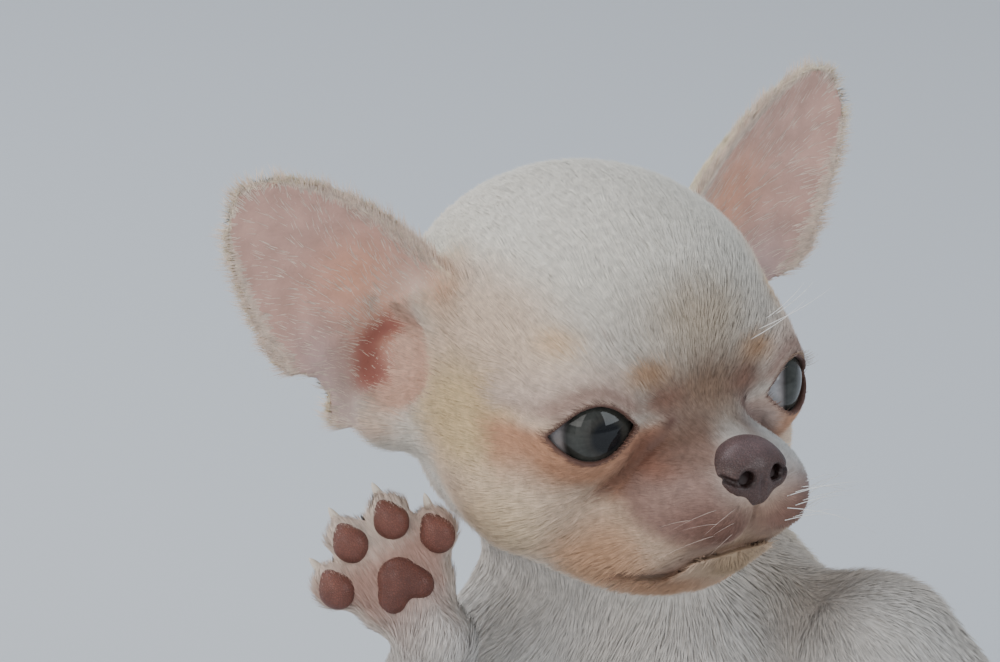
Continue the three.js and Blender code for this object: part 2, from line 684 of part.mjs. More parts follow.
// Ears, each made in its own frame so that the net follows the thin sheet
const earCutters = [];
function earSolid(name, side) {
  const axes = earAxes(EAR_POSES[name]);
  const toEar = (f) => seenIn(sided(f, side), EAR.at, axes);
  const [low, high] = [[-14, -24, -14.4], [46, 24, 14.4]];
  const followCup = ([a, b, c]) => [a, b, c + earCup(a, b).middle];
  const basis = axes.map((v) => new THREE.Vector3(...v));
  const outward = new THREE.Matrix4().makeBasis(...basis).setPosition(...EAR.at);
  const set = (geometry) => (side > 0 ? geometry.applyMatrix4(outward) : mirrored(geometry.applyMatrix4(outward)));
  const region = net(nearer(earSheet, toEar(FACE)), low, high, [4.1, 3.9, 3.3]);
  earCutters.push(solid(set(swollen(region, CUT))));
  const flesh = net(toEar(WHOLE_FROM_HEAD), low, high, [3.4, 3, 1.2], followCup);
  return solid(set(flesh)).intersect(solid(set(region)));
}

function skullSolid() {
  const part = nearer(FACE, seenIn(othersThan("head"), HEAD_AT, HEAD_AXES));
  const region = net(part, [-45, -52, -36], [45, 40, 36], [7, 7, 7]);
  cutters.push(solid(swollen(region, CUT).applyMatrix4(HEAD_PLACE)));
  const flesh = solid(net(seenIn(EARLESS, HEAD_AT, HEAD_AXES), ...FACE_GRID, drawToFace));
  let made = flesh.intersect(solid(region));
  for (const cutter of earCutters) made = made.subtract(cutter);
  for (const side of [1, -1]) {
    made = made.subtract(solid(eyeball(side, GAP))).subtract(solid(fissure(side)));
  }
  made = made.subtract(solid(net(grown(noseForm(), GAP), ...NOSE_BOX)));
  return made.subtract(solid(mouthLine()));
}

function noseSolid() {
  let made = solid(net(noseForm(), ...NOSE_BOX));
  for (const side of [1, -1]) {
    const nostril = new THREE.CapsuleGeometry(1.4, 4, 3, 8).rotateX(Math.PI / 2).rotateZ(side * 0.15);
    made = made.subtract(solid(nostril.translate(side * 2.9, -44.3, -6.4)));
    const along = new THREE.Vector3(side * 2.6, 3.2, 1.1).normalize();
    const turn = new THREE.Quaternion().setFromUnitVectors(new THREE.Vector3(0, 1, 0), along);
    const slit = new THREE.CapsuleGeometry(0.5, 3.6, 2, 6).applyQuaternion(turn);
    made = made.subtract(solid(slit.translate(side * 4.6, -42.1, -6.6)));
  }
  return made;
}

for (const [name, side] of [["left", 1], ["right", -1]]) {
  add(head, "ear_" + name, earSolid(name, side), EAR_SKIN);
  add(head, "eye_" + name, eyeball(side, 0), EYE_GLASS);
}
add(head, "head", skullSolid(), COAT);
add(head, "nose", noseSolid(), NOSE_SKIN);

// Paws, with a claw set in the end of each toe and the raised paw's pads set in its sole

function claw([x, y], grow) {
  const { long, thick } = CLAW;
  const shape = new THREE.ConeGeometry(thick + grow, long + 2 * grow, 6, 3).translate(0, grow, 0);
  const a = shape.attributes.position;
  for (let i = 0; i < a.count; i++) {
    const t = a.getY(i) / long + 0.5;
    a.setZ(i, a.getZ(i) * 1.25 - 1.6 * t * t); // bends down to its point
  }
  const lean = Math.atan2(CLAW.fan * x, y + 2);
  const beyond = TOE - 0.4;
  shape.rotateX(-0.12).rotateZ(-lean);
  return shape.translate(x + beyond * Math.sin(lean), y + beyond * Math.cos(lean), 1.1);
}

function padSizes(toes) {
  const pads = toes.map(([x, y]) => ({ at: [x, y - 0.2, -2.4], size: [2.7, 3.2, 2.3], narrowing: 0.4 }));
  return [{ at: [-0.3, -1.6, -3.2], size: [4.2, 4, 2.6], narrowing: 0.2 }, ...pads];
}

// A pad narrows towards the front of the paw
function pad({ at, size, narrowing }, grow) {
  const shape = new THREE.SphereGeometry(1, 11, 7).rotateX(Math.PI / 2);
  shape.scale(...size.map((n) => n + grow));
  const a = shape.attributes.position;
  for (let i = 0; i < a.count; i++) {
    const t = sharp((a.getY(i) + 0.8) / 5);
    a.setX(i, a.getX(i) * (1 - narrowing * t * t * (3 - 2 * t)));
  }
  return shape.translate(...at);
}

for (const [name, { at, axes, toes }] of Object.entries(PAWS)) {
  const basis = axes.map((v) => new THREE.Vector3(...v));
  const outward = new THREE.Matrix4().makeBasis(...basis).setPosition(...at);
  let made = share(name, 3.5, 5.6);
  toes.forEach((toe, i) => {
    made = made.subtract(solid(claw(toe, CLAW_CUT).applyMatrix4(outward)));
    const horn = solid(claw(toe, 0).applyMatrix4(outward)).intersect(ABOVE_FLOOR);
    add(figure, `${name}_claw_${i + 1}`, horn, CLAW_HORN);
  });
  if (toes === RAISED_TOES) {
    padSizes(toes).forEach((size, i) => {
      made = made.subtract(solid(pad(size, CUT).applyMatrix4(outward)));
      const name = i ? `foreleg_right_toe_pad_${i}` : "foreleg_right_palm_pad";
      add(figure, name, pad(size, 0).applyMatrix4(outward), PAD_SKIN);
    });
  }
  add(figure, name, made, COAT);
}

// Tail, legs, neck and torso, from the tips inwards
const STEPS = { tail: 4.8, foreleg: 6.2, shank: 5.2, thigh: 7.8, neck: 9, torso: 11 };
for (const [kind, step] of Object.entries(STEPS)) {
  for (const name of Object.keys(OWN).filter((n) => n.startsWith(kind) && !n.endsWith("paw"))) {
    add(figure, name, share(name, step, 1.4 * step), COAT);
  }
}

export default puppy;
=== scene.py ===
"""A chihuahua puppy of about seven weeks, life size, sitting with one forepaw raised.

The puppy's form is a distance field in millimetres, drawn from the same sizes as its solids. A net on that
form, drawn in by the depth of the coat, is the skin, and the coat is laid on it as solid tufts that follow
the lie of the hair. The drawing's origin is SEAT_AT ahead of the frame's, and the head has a frame of its own.
"""

import math
from concurrent.futures import ThreadPoolExecutor

import bpy
import numpy as np
from bpy.props import FloatProperty, FloatVectorProperty, IntProperty, PointerProperty
from bpy.types import Operator, Panel, PropertyGroup
from mathutils import Matrix, Vector


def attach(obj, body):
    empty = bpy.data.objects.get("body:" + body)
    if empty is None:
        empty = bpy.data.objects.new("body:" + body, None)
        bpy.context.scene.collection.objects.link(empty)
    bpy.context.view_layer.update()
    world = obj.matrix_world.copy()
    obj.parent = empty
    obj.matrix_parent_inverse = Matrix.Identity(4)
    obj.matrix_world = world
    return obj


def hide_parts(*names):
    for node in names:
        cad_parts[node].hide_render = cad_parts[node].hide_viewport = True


bl_info = {
    "name": "Chihuahua puppy",
    "version": (1, 0, 0),
    "blender": (4, 5, 0),
    "location": "View3D > Sidebar > Puppy",
    "description": "Builds a life-size chihuahua puppy with its skin, coat, eyes, nose, pads and claws",
    "category": "Object",
}

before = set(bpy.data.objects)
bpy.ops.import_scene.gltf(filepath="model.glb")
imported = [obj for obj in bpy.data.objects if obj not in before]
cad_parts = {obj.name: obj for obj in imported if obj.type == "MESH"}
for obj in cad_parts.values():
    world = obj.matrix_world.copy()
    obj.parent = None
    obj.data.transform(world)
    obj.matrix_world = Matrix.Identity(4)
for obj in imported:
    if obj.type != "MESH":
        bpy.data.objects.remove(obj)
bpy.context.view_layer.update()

F = np.float32
MM = 0.001

# Pose and sizes, shared with the solids
SEAT_AT = 44.0
HEAD_AT = (-6.0, -16.0, 118.0)
HEAD_TURN = 50.0
EYE_AT = (15.1, -19.0, -1.8)
EYE_RADIUS = 8.2
EYE_LOOK = (0.42, -0.905, 0.03)
LID = 1.2
FISSURE = {"half": 6.5, "top": 4.2, "low": 4.1, "tilt": -4.0, "lift": 0.5}
EAR_AT = (27.0, 8.0, 3.5)
EAR_LONG = 42.6
EAR_HALF = 14.9
EAR_TIP_AT = 40.7
LIPS_AT = -16.6
LIPS_FALL = 8.3
LIPS_FROM = 42.5
LIPS_LONG = 15.0
SHOULDERS_AT = 8.0
TOES = ((-6.6, 5.0), (-2.3, 8.0), (2.3, 8.0), (6.6, 5.0))
RAISED_TOES = ((-8.4, 2.4), (-3.5, 7.5), (3.4, 7.5), (8.6, 2.6))
TOE = 3.5
PAW_HEIGHT = 3.4

# Camera: where it stands round the puppy, and how large the puppy is in the picture
AZIMUTH = 15.0
ELEVATION = 20.0
CAMERA_AWAY = 0.7
PICTURE = (1000, 662)
PIXELS_PER_METRE = 6600.0
HEAD_PIXEL = (590.0, 352.0)


def linear(colour):
    """A colour written as sRGB hex digits, as linear light."""
    parts = [int(colour[i:i + 2], 16) / 255 for i in (0, 2, 4)]
    return tuple(c / 12.92 if c <= 0.04045 else ((c + 0.055) / 1.055) ** 2.4 for c in parts)


# Forms: each gives the distance from points to a surface, less than zero inside it


def row(*xyz):
    return np.array(xyz, F)


def unit(a):
    a = np.array(a, float)
    return a / np.linalg.norm(a)


def ellipsoid(p, at, size):
    q = p - row(*at)
    s = row(*size)
    a = np.sqrt((q / s * (q / s)).sum(1))
    b = np.sqrt((q / (s * s) * (q / (s * s))).sum(1))
    return a * (a - 1) / np.maximum(b, F(1e-6))


def rod(p, a, b, ra, rb):
    a, b = row(*a), row(*b)
    pa, ba = p - a, b - a
    t = np.clip(pa @ ba / (ba @ ba), 0, 1)
    q = pa - t[:, None] * ba
    return np.sqrt((q * q).sum(1)) - (ra + (rb - ra) * t)


def blend(d, e, k):
    h = np.maximum(k - np.abs(d - e), 0) / k
    return np.minimum(d, e) - h * h * (k / 4)


def carve(d, e, k):
    return -blend(-d, e, k)


def smooth(x):
    t = np.clip(x, 0, 1)
    return t * t * (3 - 2 * t)


def ridge(d, width):
    return np.exp(-((d / width) ** 2))


def within(p, at, reach, form, *more):
    """form near a place, and a plain distance beyond its reach."""
    q = p - row(*at)
    d = np.asarray(np.sqrt((q * q).sum(1)) - reach, F)
    near = d < 0
    d += 20
    if near.any():
        d[near] = form(p[near], *more)
    return d


TURN = math.radians(HEAD_TURN)
HEAD_AXES = np.array(
    [[math.cos(TURN), -math.sin(TURN), 0], [math.sin(TURN), math.cos(TURN), 0], [0, 0, 1]], F
)
EYE_OUT = unit(EYE_LOOK)
EYE_SIDE = unit(np.cross((0, 0, 1), EYE_OUT))
EYE_UP = np.cross(EYE_OUT, EYE_SIDE)


def to_head(p):
    return (p - row(*HEAD_AT)) @ HEAD_AXES


def from_head(q):
    return np.array(q, float) @ HEAD_AXES.T.astype(float) + np.array(HEAD_AT, float)


def folded(q):
    """The head's right half laid on its left."""
    return np.stack([np.abs(q[:, 0]), q[:, 1], q[:, 2]], 1)


def skull(m):
    d = ellipsoid(m, (0, 2.5, 1), (28.7, 29.2, 27.4))
    d = blend(d, ellipsoid(m, (0, -8.5, 5), (20.5, 20.2, 20)), 8)
    d = blend(d, ellipsoid(m, (16.5, -8.8, -13.3), (11.1, 13.2, 12.2)), 9)
    d = blend(d, ellipsoid(m, (0, -12, -19), (15, 17, 10)), 8)
    return blend(d, ellipsoid(m, (13, -19, 5), (7.6, 7.2, 5.2)), 6)


def muzzle(m):
    d = ellipsoid(m, (0, -27, -11), (12.5, 13, 9.5))
    d = blend(d, rod(m, (0, -22, -5.5), (0, -36, -7.5), 6.5, 5.2), 4)
    d = blend(d, ellipsoid(m, (5.7, -33.8, -11.9), (7.1, 8.8, 7.6)), 3)
    return blend(d, ellipsoid(m, (6.5, -28.5, -15.5), (6.3, 9.5, 9)), 3)


def jaw(m):
    d = ellipsoid(m, (0, -26, -20.6), (8.2, 11.6, 5.8))
    d = blend(d, ellipsoid(m, (0, -20, -23), (10.5, 11, 6.5)), 4)
    return blend(d, ellipsoid(m, (0, -14.5, -21.5), (19, 15.5, 9.8)), 6)


def lip_height(y):
    return LIPS_AT - LIPS_FALL * smooth((y + LIPS_FROM) / LIPS_LONG)


def eye_view(m):
    """Sideways, up and out from the middle of the eyeball."""
    q = m - row(*EYE_AT)
    return q @ EYE_SIDE.astype(F), q @ EYE_UP.astype(F), q @ EYE_OUT.astype(F)


def from_eye(m, radius):
    q = m - row(*EYE_AT)
    return np.sqrt((q * q).sum(1)) - radius


def fissure(m):
    """The almond between the lids, seen along the eye."""
    side, up, out = eye_view(m)
    up = up - FISSURE["lift"]
    tilt = math.radians(FISSURE["tilt"])
    side, up = side * math.cos(tilt) + up * math.sin(tilt), up * math.cos(tilt) - side * math.sin(tilt)
    s = np.clip(side / FISSURE["half"], -1.3, 1.3)
    top = FISSURE["top"] * (1 - s * s) * (1 - 0.22 * s)
    low = FISSURE["low"] * (1 - s * s) * (1 + 0.05 * s)
    steep = np.sqrt(1 + (2 * 4.4 * s / FISSURE["half"]) ** 2)
    return np.maximum(np.maximum(up - top, -up - low) / steep, 2 - out)


def ear_axes(splay, twist, tip):
    """Along the ear, across it towards the crown, and out of its cup."""
    along = unit((0.714, 0.207, 0.668))
    out = np.array((0.36, -0.92, -0.10))
    out = unit(out - (out @ along) * along)
    wide = np.cross(out, along)
    s, t, f = math.radians(splay), math.radians(twist), math.radians(tip)
    along, out = along * math.cos(f) + out * math.sin(f), out * math.cos(f) - along * math.sin(f)
    along, wide = along * math.cos(s) - wide * math.sin(s), wide * math.cos(s) + along * math.sin(s)
    wide, out = wide * math.cos(t) - out * math.sin(t), out * math.cos(t) + wide * math.sin(t)
    return np.stack([along, wide, out], 1).astype(F)


RIGHT_EAR, LEFT_EAR = ear_axes(-2, 0, 4), ear_axes(0, 15, 6)


def ear_view(m, left):
    q = m - row(*EAR_AT)
    return np.where(left[:, None], q @ LEFT_EAR, q @ RIGHT_EAR)


def ear_middle(t):
    return -2.6 + 7.6 * t - 2.4 * t * t


def ear(m, left):
    q = ear_view(m, left)
    a, b, c = q[:, 0], q[:, 1], q[:, 2]
    t = np.clip(a / EAR_LONG, 0, 1.15)
    low = np.maximum(2.5 - a, 0) / 8.5
    s = np.abs(b - ear_middle(t)) / EAR_HALF
    outline = s ** 1.333 + t ** 2.4 + low * low - 1
    across = 1.333 / EAR_HALF * np.maximum(s, 0.05) ** 0.333
    along = 2.4 / EAR_LONG * t ** 1.4 + 2 / 8.5 * low
    edge = -blend(-outline / np.maximum(np.sqrt(across * across + along * along), 0.04), EAR_TIP_AT - a, 6)
    half = EAR_HALF * np.maximum(1 - np.minimum(t, 0.98) ** 2.4, 0.02) ** 0.75
    k = np.clip((b - ear_middle(t)) / half, -1.15, 1.15)
    depth = 7.5 * (1 - np.minimum(t, 1)) ** 1.3 + 1.2
    cup = 1.5 - depth * (1 - k * k)
    steep = np.sqrt(1 + (2 * depth * k / half) ** 2)
    sheet = np.abs(c - cup) / steep - (0.85 + 0.9 * (1 - np.minimum(t * 2.2, 1)))
    notch = np.sqrt((a - 7.6) ** 2 + (b + 19.6) ** 2) - 5.4
    return carve(-blend(-sheet, -edge, 1), notch, 5)


def face(m):
    d = blend(skull(m), muzzle(m), 5)
    d = blend(d, jaw(m), 2.5)
    d = blend(d, from_eye(m, EYE_RADIUS + LID), 3)
    d = blend(d, ellipsoid(m, (23.2, 7.2, 0.5), (6.8, 7, 12.5)), 5)
    d = blend(d, ellipsoid(m, (27, 11.6, -7.2), (6.8, 5, 6.1)), 4)
    fold = rod(m, (8.4, -29.4, -2), (15.4, -25.6, -11.5), 0, 0)
    return d + 0.9 * ridge(fold, 1.3)


def head(q):
    """The head with its ears, and its lids and lips cut finely."""
    m = folded(q)
    left = q[:, 0] > 0
    d = blend(face(m), ear(m, left), 3)
    d = carve(d, ellipsoid(ear_view(m, left), (1.6, -3.6, 1.5), (6, 7.3, 6.6)), 4)
    x, y, z = m[:, 0], m[:, 1], m[:, 2]
    d = d + 1.2 * ridge(z - lip_height(y), 0.6) * smooth((-22.5 - y) / 3)
    philtrum = smooth((-38 - y) / 2) * smooth((-10.5 - z) / 1.5) * smooth((z + 18) / 2)
    d = d + 0.5 * ridge(x, 0.6) * philtrum
    d = carve(d, fissure(m), 0.5)
    return np.maximum(d, -from_eye(m, EYE_RADIUS + 0.15))


def nose(q):
    m = folded(q)
    d = ellipsoid(m, (0, -38.2, -6), (5.7, 4.8, 4.4))
    d = blend(d, ellipsoid(m, (3.3, -39.7, -6.9), (2.7, 3, 2.8)), 1.5)
    d = blend(d, ellipsoid(m, (0, -40, -9.2), (2.6, 2.8, 2.4)), 1.5)
    d = carve(d, rod(m, (2.9, -44, -6.4), (2.2, -39.5, -6.2), 1.3, 0.9), 0.8)
    d = carve(d, rod(m, (3.3, -43.4, -7.1), (5.9, -40.4, -6), 0.5, 0.35), 0.6)
    return d + 0.3 * ridge(m[:, 0], 0.45) * smooth((-40.5 - m[:, 1]) / 1.5) * smooth((-5 - m[:, 2]) / 2)


# Body, its limbs as rods from one joint to the next


def view_axes():
    a, e = math.radians(AZIMUTH), math.radians(ELEVATION)
    back = np.array([math.sin(a) * math.cos(e), -math.cos(a) * math.cos(e), math.sin(e)])
    right = np.array([math.cos(a), math.sin(a), 0])
    return right, np.cross(back, right), back


def frame_of(forward, up):
    """Across, along and over, as columns."""
    f = unit(forward)
    s = unit(np.cross(f, up))
    return np.stack([s, f, np.cross(s, f)], 1).astype(F)


def raised_paw():
    right, up, back = view_axes()
    at = np.array(HEAD_AT) - 29.2 * right - 32.6 * up + 17 * back
    return tuple(at), frame_of(-0.5 * right + 0.866 * up, -back), RAISED_TOES


PAWS = {
    "foreleg_left_paw": ((58.0, -41.0, PAW_HEIGHT), frame_of((0.12, -1, 0), (0, 0, 1)), TOES),
    "foreleg_right_paw": raised_paw(),
    "hindleg_left_paw": ((39.0, 1.0, PAW_HEIGHT), frame_of((0.22, -1, 0), (0, 0, 1)), TOES),
    "hindleg_right_paw": ((-39.0, 1.0, PAW_HEIGHT), frame_of((-0.22, -1, 0), (0, 0, 1)), TOES),
}
RAISED_AT, RAISED_AXES, _ = PAWS["foreleg_right_paw"]
WRIST = tuple(np.array(RAISED_AT) + RAISED_AXES.astype(float) @ (0, -12.5, 0.5))
NAPE = tuple(from_head((-3, 9, -14)))
BODY_RODS = {
    "neck": [(NAPE, (-3, 3, 80), 18.5, 17, 0)],
    "torso": [
        ((SHOULDERS_AT, -8, 78), (SHOULDERS_AT, -5, 40), 20, 20, 0),
        ((4, 5, 62), (0, 44, 30), 21.5, 24, 12),
    ],
    "foreleg_left": [
        ((39.5, -15.3, 71.9), (63, -16, 50), 13.5, 9.5, 0),
        ((63, -17, 49), (58, -33, 15), 8.8, 6.2, 4),
        ((58, -33, 15), (58, -39, 7), 6.2, 5.6, 3),
    ],
    "foreleg_right": [((-14, -12, 72), (-29, -38, 56), 13, 9.5, 0), ((-29, -40, 56), WRIST, 8.8, 6.2, 4)],
    "thigh": [((18, 40, 27), (33, 9, 25), 19, 11, 0)],
    "shank": [((34, 9, 23), (34, 37, 8), 9, 6, 0), ((34, 38, 5.3), (38, 8, 5.1), 6.2, 5.8, 3)],
    "tail": [
        ((0, 62, 16), (6, 74, 8.5), 9, 7, 0),
        ((6, 74, 8.5), (18, 79, 4.8), 7, 5.5, 2),
        ((18, 79, 4.8), (33, 77, 3.9), 5.5, 4.6, 2),
        ((33, 77, 3.9), (46, 69, 2.7), 4.6, 3.4, 2),
    ],
}


def rods(p, name):
    d = None
    for a, b, ra, rb, k in BODY_RODS[name]:
        e = rod(p, a, b, ra, rb)
        d = e if d is None else blend(d, e, k)
    return d


def torso(p):
    d = ellipsoid(p, (SHOULDERS_AT, -5, 59.5), (25, 28, 26))
    d = blend(d, rod(p, (4, 5, 62), (0, 44, 30), 21.5, 24), 12)
    d = blend(d, ellipsoid(p, (2, 14, 36), (28, 28, 26)), 10)
    return blend(d, ellipsoid(p, (0, SEAT_AT, 23), (27, 25, 25)), 10)


def paw(p, name):
    at, axes, toes = PAWS[name]
    q = (p - row(*at)) @ axes
    d = ellipsoid(q, (0, -2, 1.2), (8, 9, 5.6))
    for x, y in toes:
        d = blend(d, rod(q, (x * 0.55, y * 0.3 - 1, 1.6), (x, y, -0.3), 3.9, TOE), 1.3)
    return d


def mirrored(p, side):
    return p * row(side, 1, 1)


SIDES = {"left": 1, "right": -1}
OWN = {
    "head": lambda p: face(folded(to_head(p))),
    "ear_left": lambda p: ear(to_head(p), np.ones(len(p), bool)),
    "ear_right": lambda p: ear(mirrored(to_head(p), -1), np.zeros(len(p), bool)),
    "neck": lambda p: rods(p, "neck"),
    "torso": torso,
    "tail": lambda p: rods(p, "tail"),
    "foreleg_left": lambda p: rods(p, "foreleg_left"),
    "foreleg_right": lambda p: rods(p, "foreleg_right"),
    "thigh_left": lambda p: rods(p, "thigh"),
    "thigh_right": lambda p: rods(mirrored(p, -1), "thigh"),
    "shank_left": lambda p: rods(p, "shank"),
    "shank_right": lambda p: rods(mirrored(p, -1), "shank"),
    "foreleg_left_paw": lambda p: paw(p, "foreleg_left_paw"),
    "foreleg_right_paw": lambda p: paw(p, "foreleg_right_paw"),
    "hindleg_left_paw": lambda p: paw(p, "hindleg_left_paw"),
    "hindleg_right_paw": lambda p: paw(p, "hindleg_right_paw"),
}
NAMES = list(OWN)


def whole(p):
    """The puppy as one form, each limb run softly into what it grows from."""
    d = within(p, HEAD_AT, 90, lambda x: head(to_head(x)))
    d = blend(d, within(p, (0, -5, 92), 70, OWN["neck"]), 7)
    d = blend(d, torso(p), 12)
    shoulder_blend = 7 + 10 * smooth((p[:, 1] + 20) / 14)
    d = blend(d, within(p, (40, -20, 42), 80, OWN["foreleg_left"]), shoulder_blend)
    for name, side in SIDES.items():
        d = blend(d, within(p, (side * 29, 24, 26), 70, OWN["thigh_" + name]), 9)
        d = blend(d, within(p, (side * 37, 22, 12), 60, OWN["shank_" + name]), 4)
        hind = f"hindleg_{name}_paw"
        d = blend(d, within(p, PAWS[hind][0], 42, OWN[hind]), 3)
    d = blend(d, within(p, PAWS["foreleg_left_paw"][0], 42, OWN["foreleg_left_paw"]), 3)
    d = blend(d, within(p, (20, 70, 10), 65, OWN["tail"]), 6)
    d = blend_arm(d, p)
    return np.maximum(d, -p[:, 2])


def blend_arm(d, p):
    """The raised foreleg, run into the shoulder and kept crisp beside the cheek."""
    arm = within(p, (-24, -28, 75), 75, OWN["foreleg_right"])
    arm = blend(arm, within(p, RAISED_AT, 42, OWN["foreleg_right_paw"]), 3)
    shoulder = rod(p, (-14, -12, 72), (-14, -13, 72), 20, 20)
    return blend(d, arm, np.clip(7 - 0.4 * shoulder, 0.5, 7))


# Nets


CORNERS = np.array([[i & 1, (i >> 1) & 1, i >> 2] for i in range(8)])
EDGES = [(a, b) for a in range(8) for b in range(8) if a < b and bin(a ^ b).count("1") == 1]
FACE_MIDDLE = from_head((3, -30, -8))
FACE_GRID = {"near": 20.0, "fine": 0.42, "coarse": 1.3, "ramp": 70.0}


def threaded(form, p, share=120000):
    p = np.asarray(p, F)
    if len(p) <= share:
        return np.asarray(form(p), F)
    parts = [p[i:i + share] for i in range(0, len(p), share)]
    with ThreadPoolExecutor(4) as pool:
        return np.concatenate(list(pool.map(lambda x: np.asarray(form(x), F), parts)))


def draw_in(u):
    """Grid points, counted from the middle of the face, drawn together near it."""
    near, fine, coarse, ramp = (FACE_GRID[k] for k in ("near", "fine", "coarse", "ramp"))
    r = np.sqrt((u * u).sum(1))
    over = np.maximum(r - near / fine, 0)
    t = np.minimum(over / ramp, 1)
    grown = fine * over + (coarse - fine) * (ramp * t * t * 0.5 + np.maximum(over - ramp, 0))
    out = np.where(over > 0, near + grown, r * fine)
    return (FACE_MIDDLE + u * (out / np.maximum(r, 1e-6))[:, None]).astype(F)


def grid_reach(distance):
    """How many grid steps from the middle of the face a distance is."""
    low, high = 0.0, 2000.0
    for _ in range(50):
        middle = (low + high) / 2
        got = np.linalg.norm(draw_in(np.array([[middle, 0, 0]], F))[0] - FACE_MIDDLE)
        low, high = (middle, high) if got < distance else (low, middle)
    return high


def net(form, low, high, step, draw=None, block=4):
    """A closed net of quads on form's zero surface. Only the grid's blocks near it are looked at closely."""
    draw = draw or (lambda u: u)
    low = np.array(low, float)
    n = np.ceil((np.array(high) - low) / step / block).astype(int) * block
    axes = [low[i] + step * np.arange(n[i] + 1) for i in range(3)]

    def points(ix, iy, iz):
        return draw(np.stack([axes[0][ix], axes[1][iy], axes[2][iz]], 1).astype(F))

    blocks = n // block
    grid = np.meshgrid(*[np.arange(k + 1) * block for k in blocks], indexing="ij")
    coarse = threaded(form, points(*[g.ravel() for g in grid])).reshape(blocks + 1)
    near = np.full(blocks, 1e9, F)
    for i, j, k in CORNERS:
        near = np.minimum(near, np.abs(coarse[i:blocks[0] + i, j:blocks[1] + j, k:blocks[2] + k]))
    cells = (near < block * step * 1.13).repeat(block, 0).repeat(block, 1).repeat(block, 2)
    nodes = np.zeros(n + 1, bool)
    for i, j, k in CORNERS:
        nodes[i:n[0] + i, j:n[1] + j, k:n[2] + k] |= cells
    nearest = [np.minimum((np.arange(n[i] + 1) + block // 2) // block, blocks[i]) for i in range(3)]
    values = coarse[np.ix_(*nearest)].copy()
    where = np.nonzero(nodes)
    values[where] = threaded(form, points(*where))
    inside = values < 0
    count = np.zeros(n, np.int8)
    for i, j, k in CORNERS:
        count += inside[i:n[0] + i, j:n[1] + j, k:n[2] + k]
    cell = np.nonzero((count > 0) & (count < 8))
    index = np.full(n, -1, np.int32)
    index[cell] = np.arange(len(cell[0]))
    corner = np.stack([values[cell[0] + i, cell[1] + j, cell[2] + k] for i, j, k in CORNERS], 1)
    total = np.zeros((len(cell[0]), 3))
    hits = np.zeros(len(cell[0]))
    for a, b in EDGES:
        fa, fb = corner[:, a], corner[:, b]
        crossed = (fa < 0) != (fb < 0)
        t = np.where(crossed, fa / np.where(crossed, fa - fb, 1), 0)
        total += (CORNERS[a] + t[:, None] * (CORNERS[b] - CORNERS[a])) * crossed[:, None]
        hits += crossed
    places = draw((low + step * (np.stack(cell, 1) + total / hits[:, None])).astype(F))
    return places, np.concatenate([faces_across(inside, index, n, axis) for axis in range(3)])


def faces_across(inside, index, n, axis):
    """The quads round the grid edges along one axis that cross the surface."""
    here, ahead = [slice(None)] * 3, [slice(None)] * 3
    here[axis], ahead[axis] = slice(0, n[axis]), slice(1, n[axis] + 1)
    edge = np.stack(np.nonzero(inside[tuple(here)] != inside[tuple(ahead)]), 1)
    one, two = (axis + 1) % 3, (axis + 2) % 3
    for other in (one, two):
        edge = edge[(edge[:, other] > 0) & (edge[:, other] < n[other])]
    a, b = np.eye(3, dtype=int)[one], np.eye(3, dtype=int)[two]
    quads = np.stack([index[tuple((edge - s).T)] for s in (a + b, b, 0 * a, a)], 1)
    turned = ~inside[tuple(edge.T)]
    quads[turned] = quads[turned][:, ::-1]
    return quads


def slope(form, p, h=0.06):
    g = np.empty_like(p)
    for i in range(3):
        step = np.zeros(3, F)
        step[i] = h
        g[:, i] = threaded(form, p + step) - threaded(form, p - step)
    return g / np.maximum(np.sqrt((g * g).sum(1)), 1e-9)[:, None]


def settle(form, p, rounds=2, most=0.5):
    """Points moved onto the surface."""
    for _ in range(rounds):
        p = p - np.clip(threaded(form, p), -most, most)[:, None] * slope(form, p)
    return p.astype(F)


# The lie, length and colour of the coat, by place


COAT = {  # depth over the skin, length and width of a tuft, and tufts per square millimetre
    "head": (0.55, 3.4, 0.17, 13.0),
    "ear": (0.1, 2.0, 0.14, 10.0),
    "neck": (0.8, 4.2, 0.25, 6.0),
    "torso": (0.9, 4.8, 0.3, 4.0),
    "tail": (0.7, 3.0, 0.24, 6.0),
    "foreleg": (0.6, 3.6, 0.24, 5.5),
    "thigh": (0.8, 4.4, 0.3, 3.8),
    "shank": (0.5, 3.0, 0.24, 4.6),
    "paw": (0.35, 2.4, 0.18, 9.0),
}

CREAM = linear("e2dbce")
FOREHEAD = linear("ccc2b6")
TEMPLE = linear("e0c5ac")
GOLD = linear("d8bd8e")
BUFF = linear("e8cfac")
JOWL = linear("c79b79")
PALE_LID = linear("d2bdae")
STOP = linear("785840")
CORNER = linear("7c5443")
EYE_RING = linear("c08e6f")
MAUVE = linear("94766b")
LIP = linear("6d483e")
GREY = linear("c6c5c1")
LID_SKIN = linear("55392f")
EAR_ROOT = linear("eabfa8")
EAR_PINK = linear("c39a8c")
EAR_PEACH = linear("d89c80")
EAR_HAIR = linear("dac6b6")
# the ear canal's redder bare skin, darkened partly as painted shade of the hollow
CANAL = linear("aa6e62")
# painted shade: near-black skin colour inside the nostrils, where there is only shade
NOSTRIL_SHADE = linear("2b1512")


def kind_of(name):
    if name.endswith("paw"):
        return "paw"
    return name.split("_")[0]


def shares(p, softness=2.5):
    """How much each part of the body has of each point, as rows that sum to one."""
    d = np.stack([threaded(OWN[name], p) for name in NAMES], 1)
    w = np.exp(-(d - d.min(1)[:, None]) / softness)
    return w / w.sum(1)[:, None]


def blob(m, at, reach, edge=0.5):
    """One at a place and zero beyond its reach, falling off over the outer share of it."""
    d = ellipsoid_radius(m, at, reach)
    return smooth((1 - d) / edge)


def ellipsoid_radius(m, at, reach):
    q = (m - row(*at)) / (row(*reach) if isinstance(reach, tuple) else reach)
    return np.sqrt((q * q).sum(1))


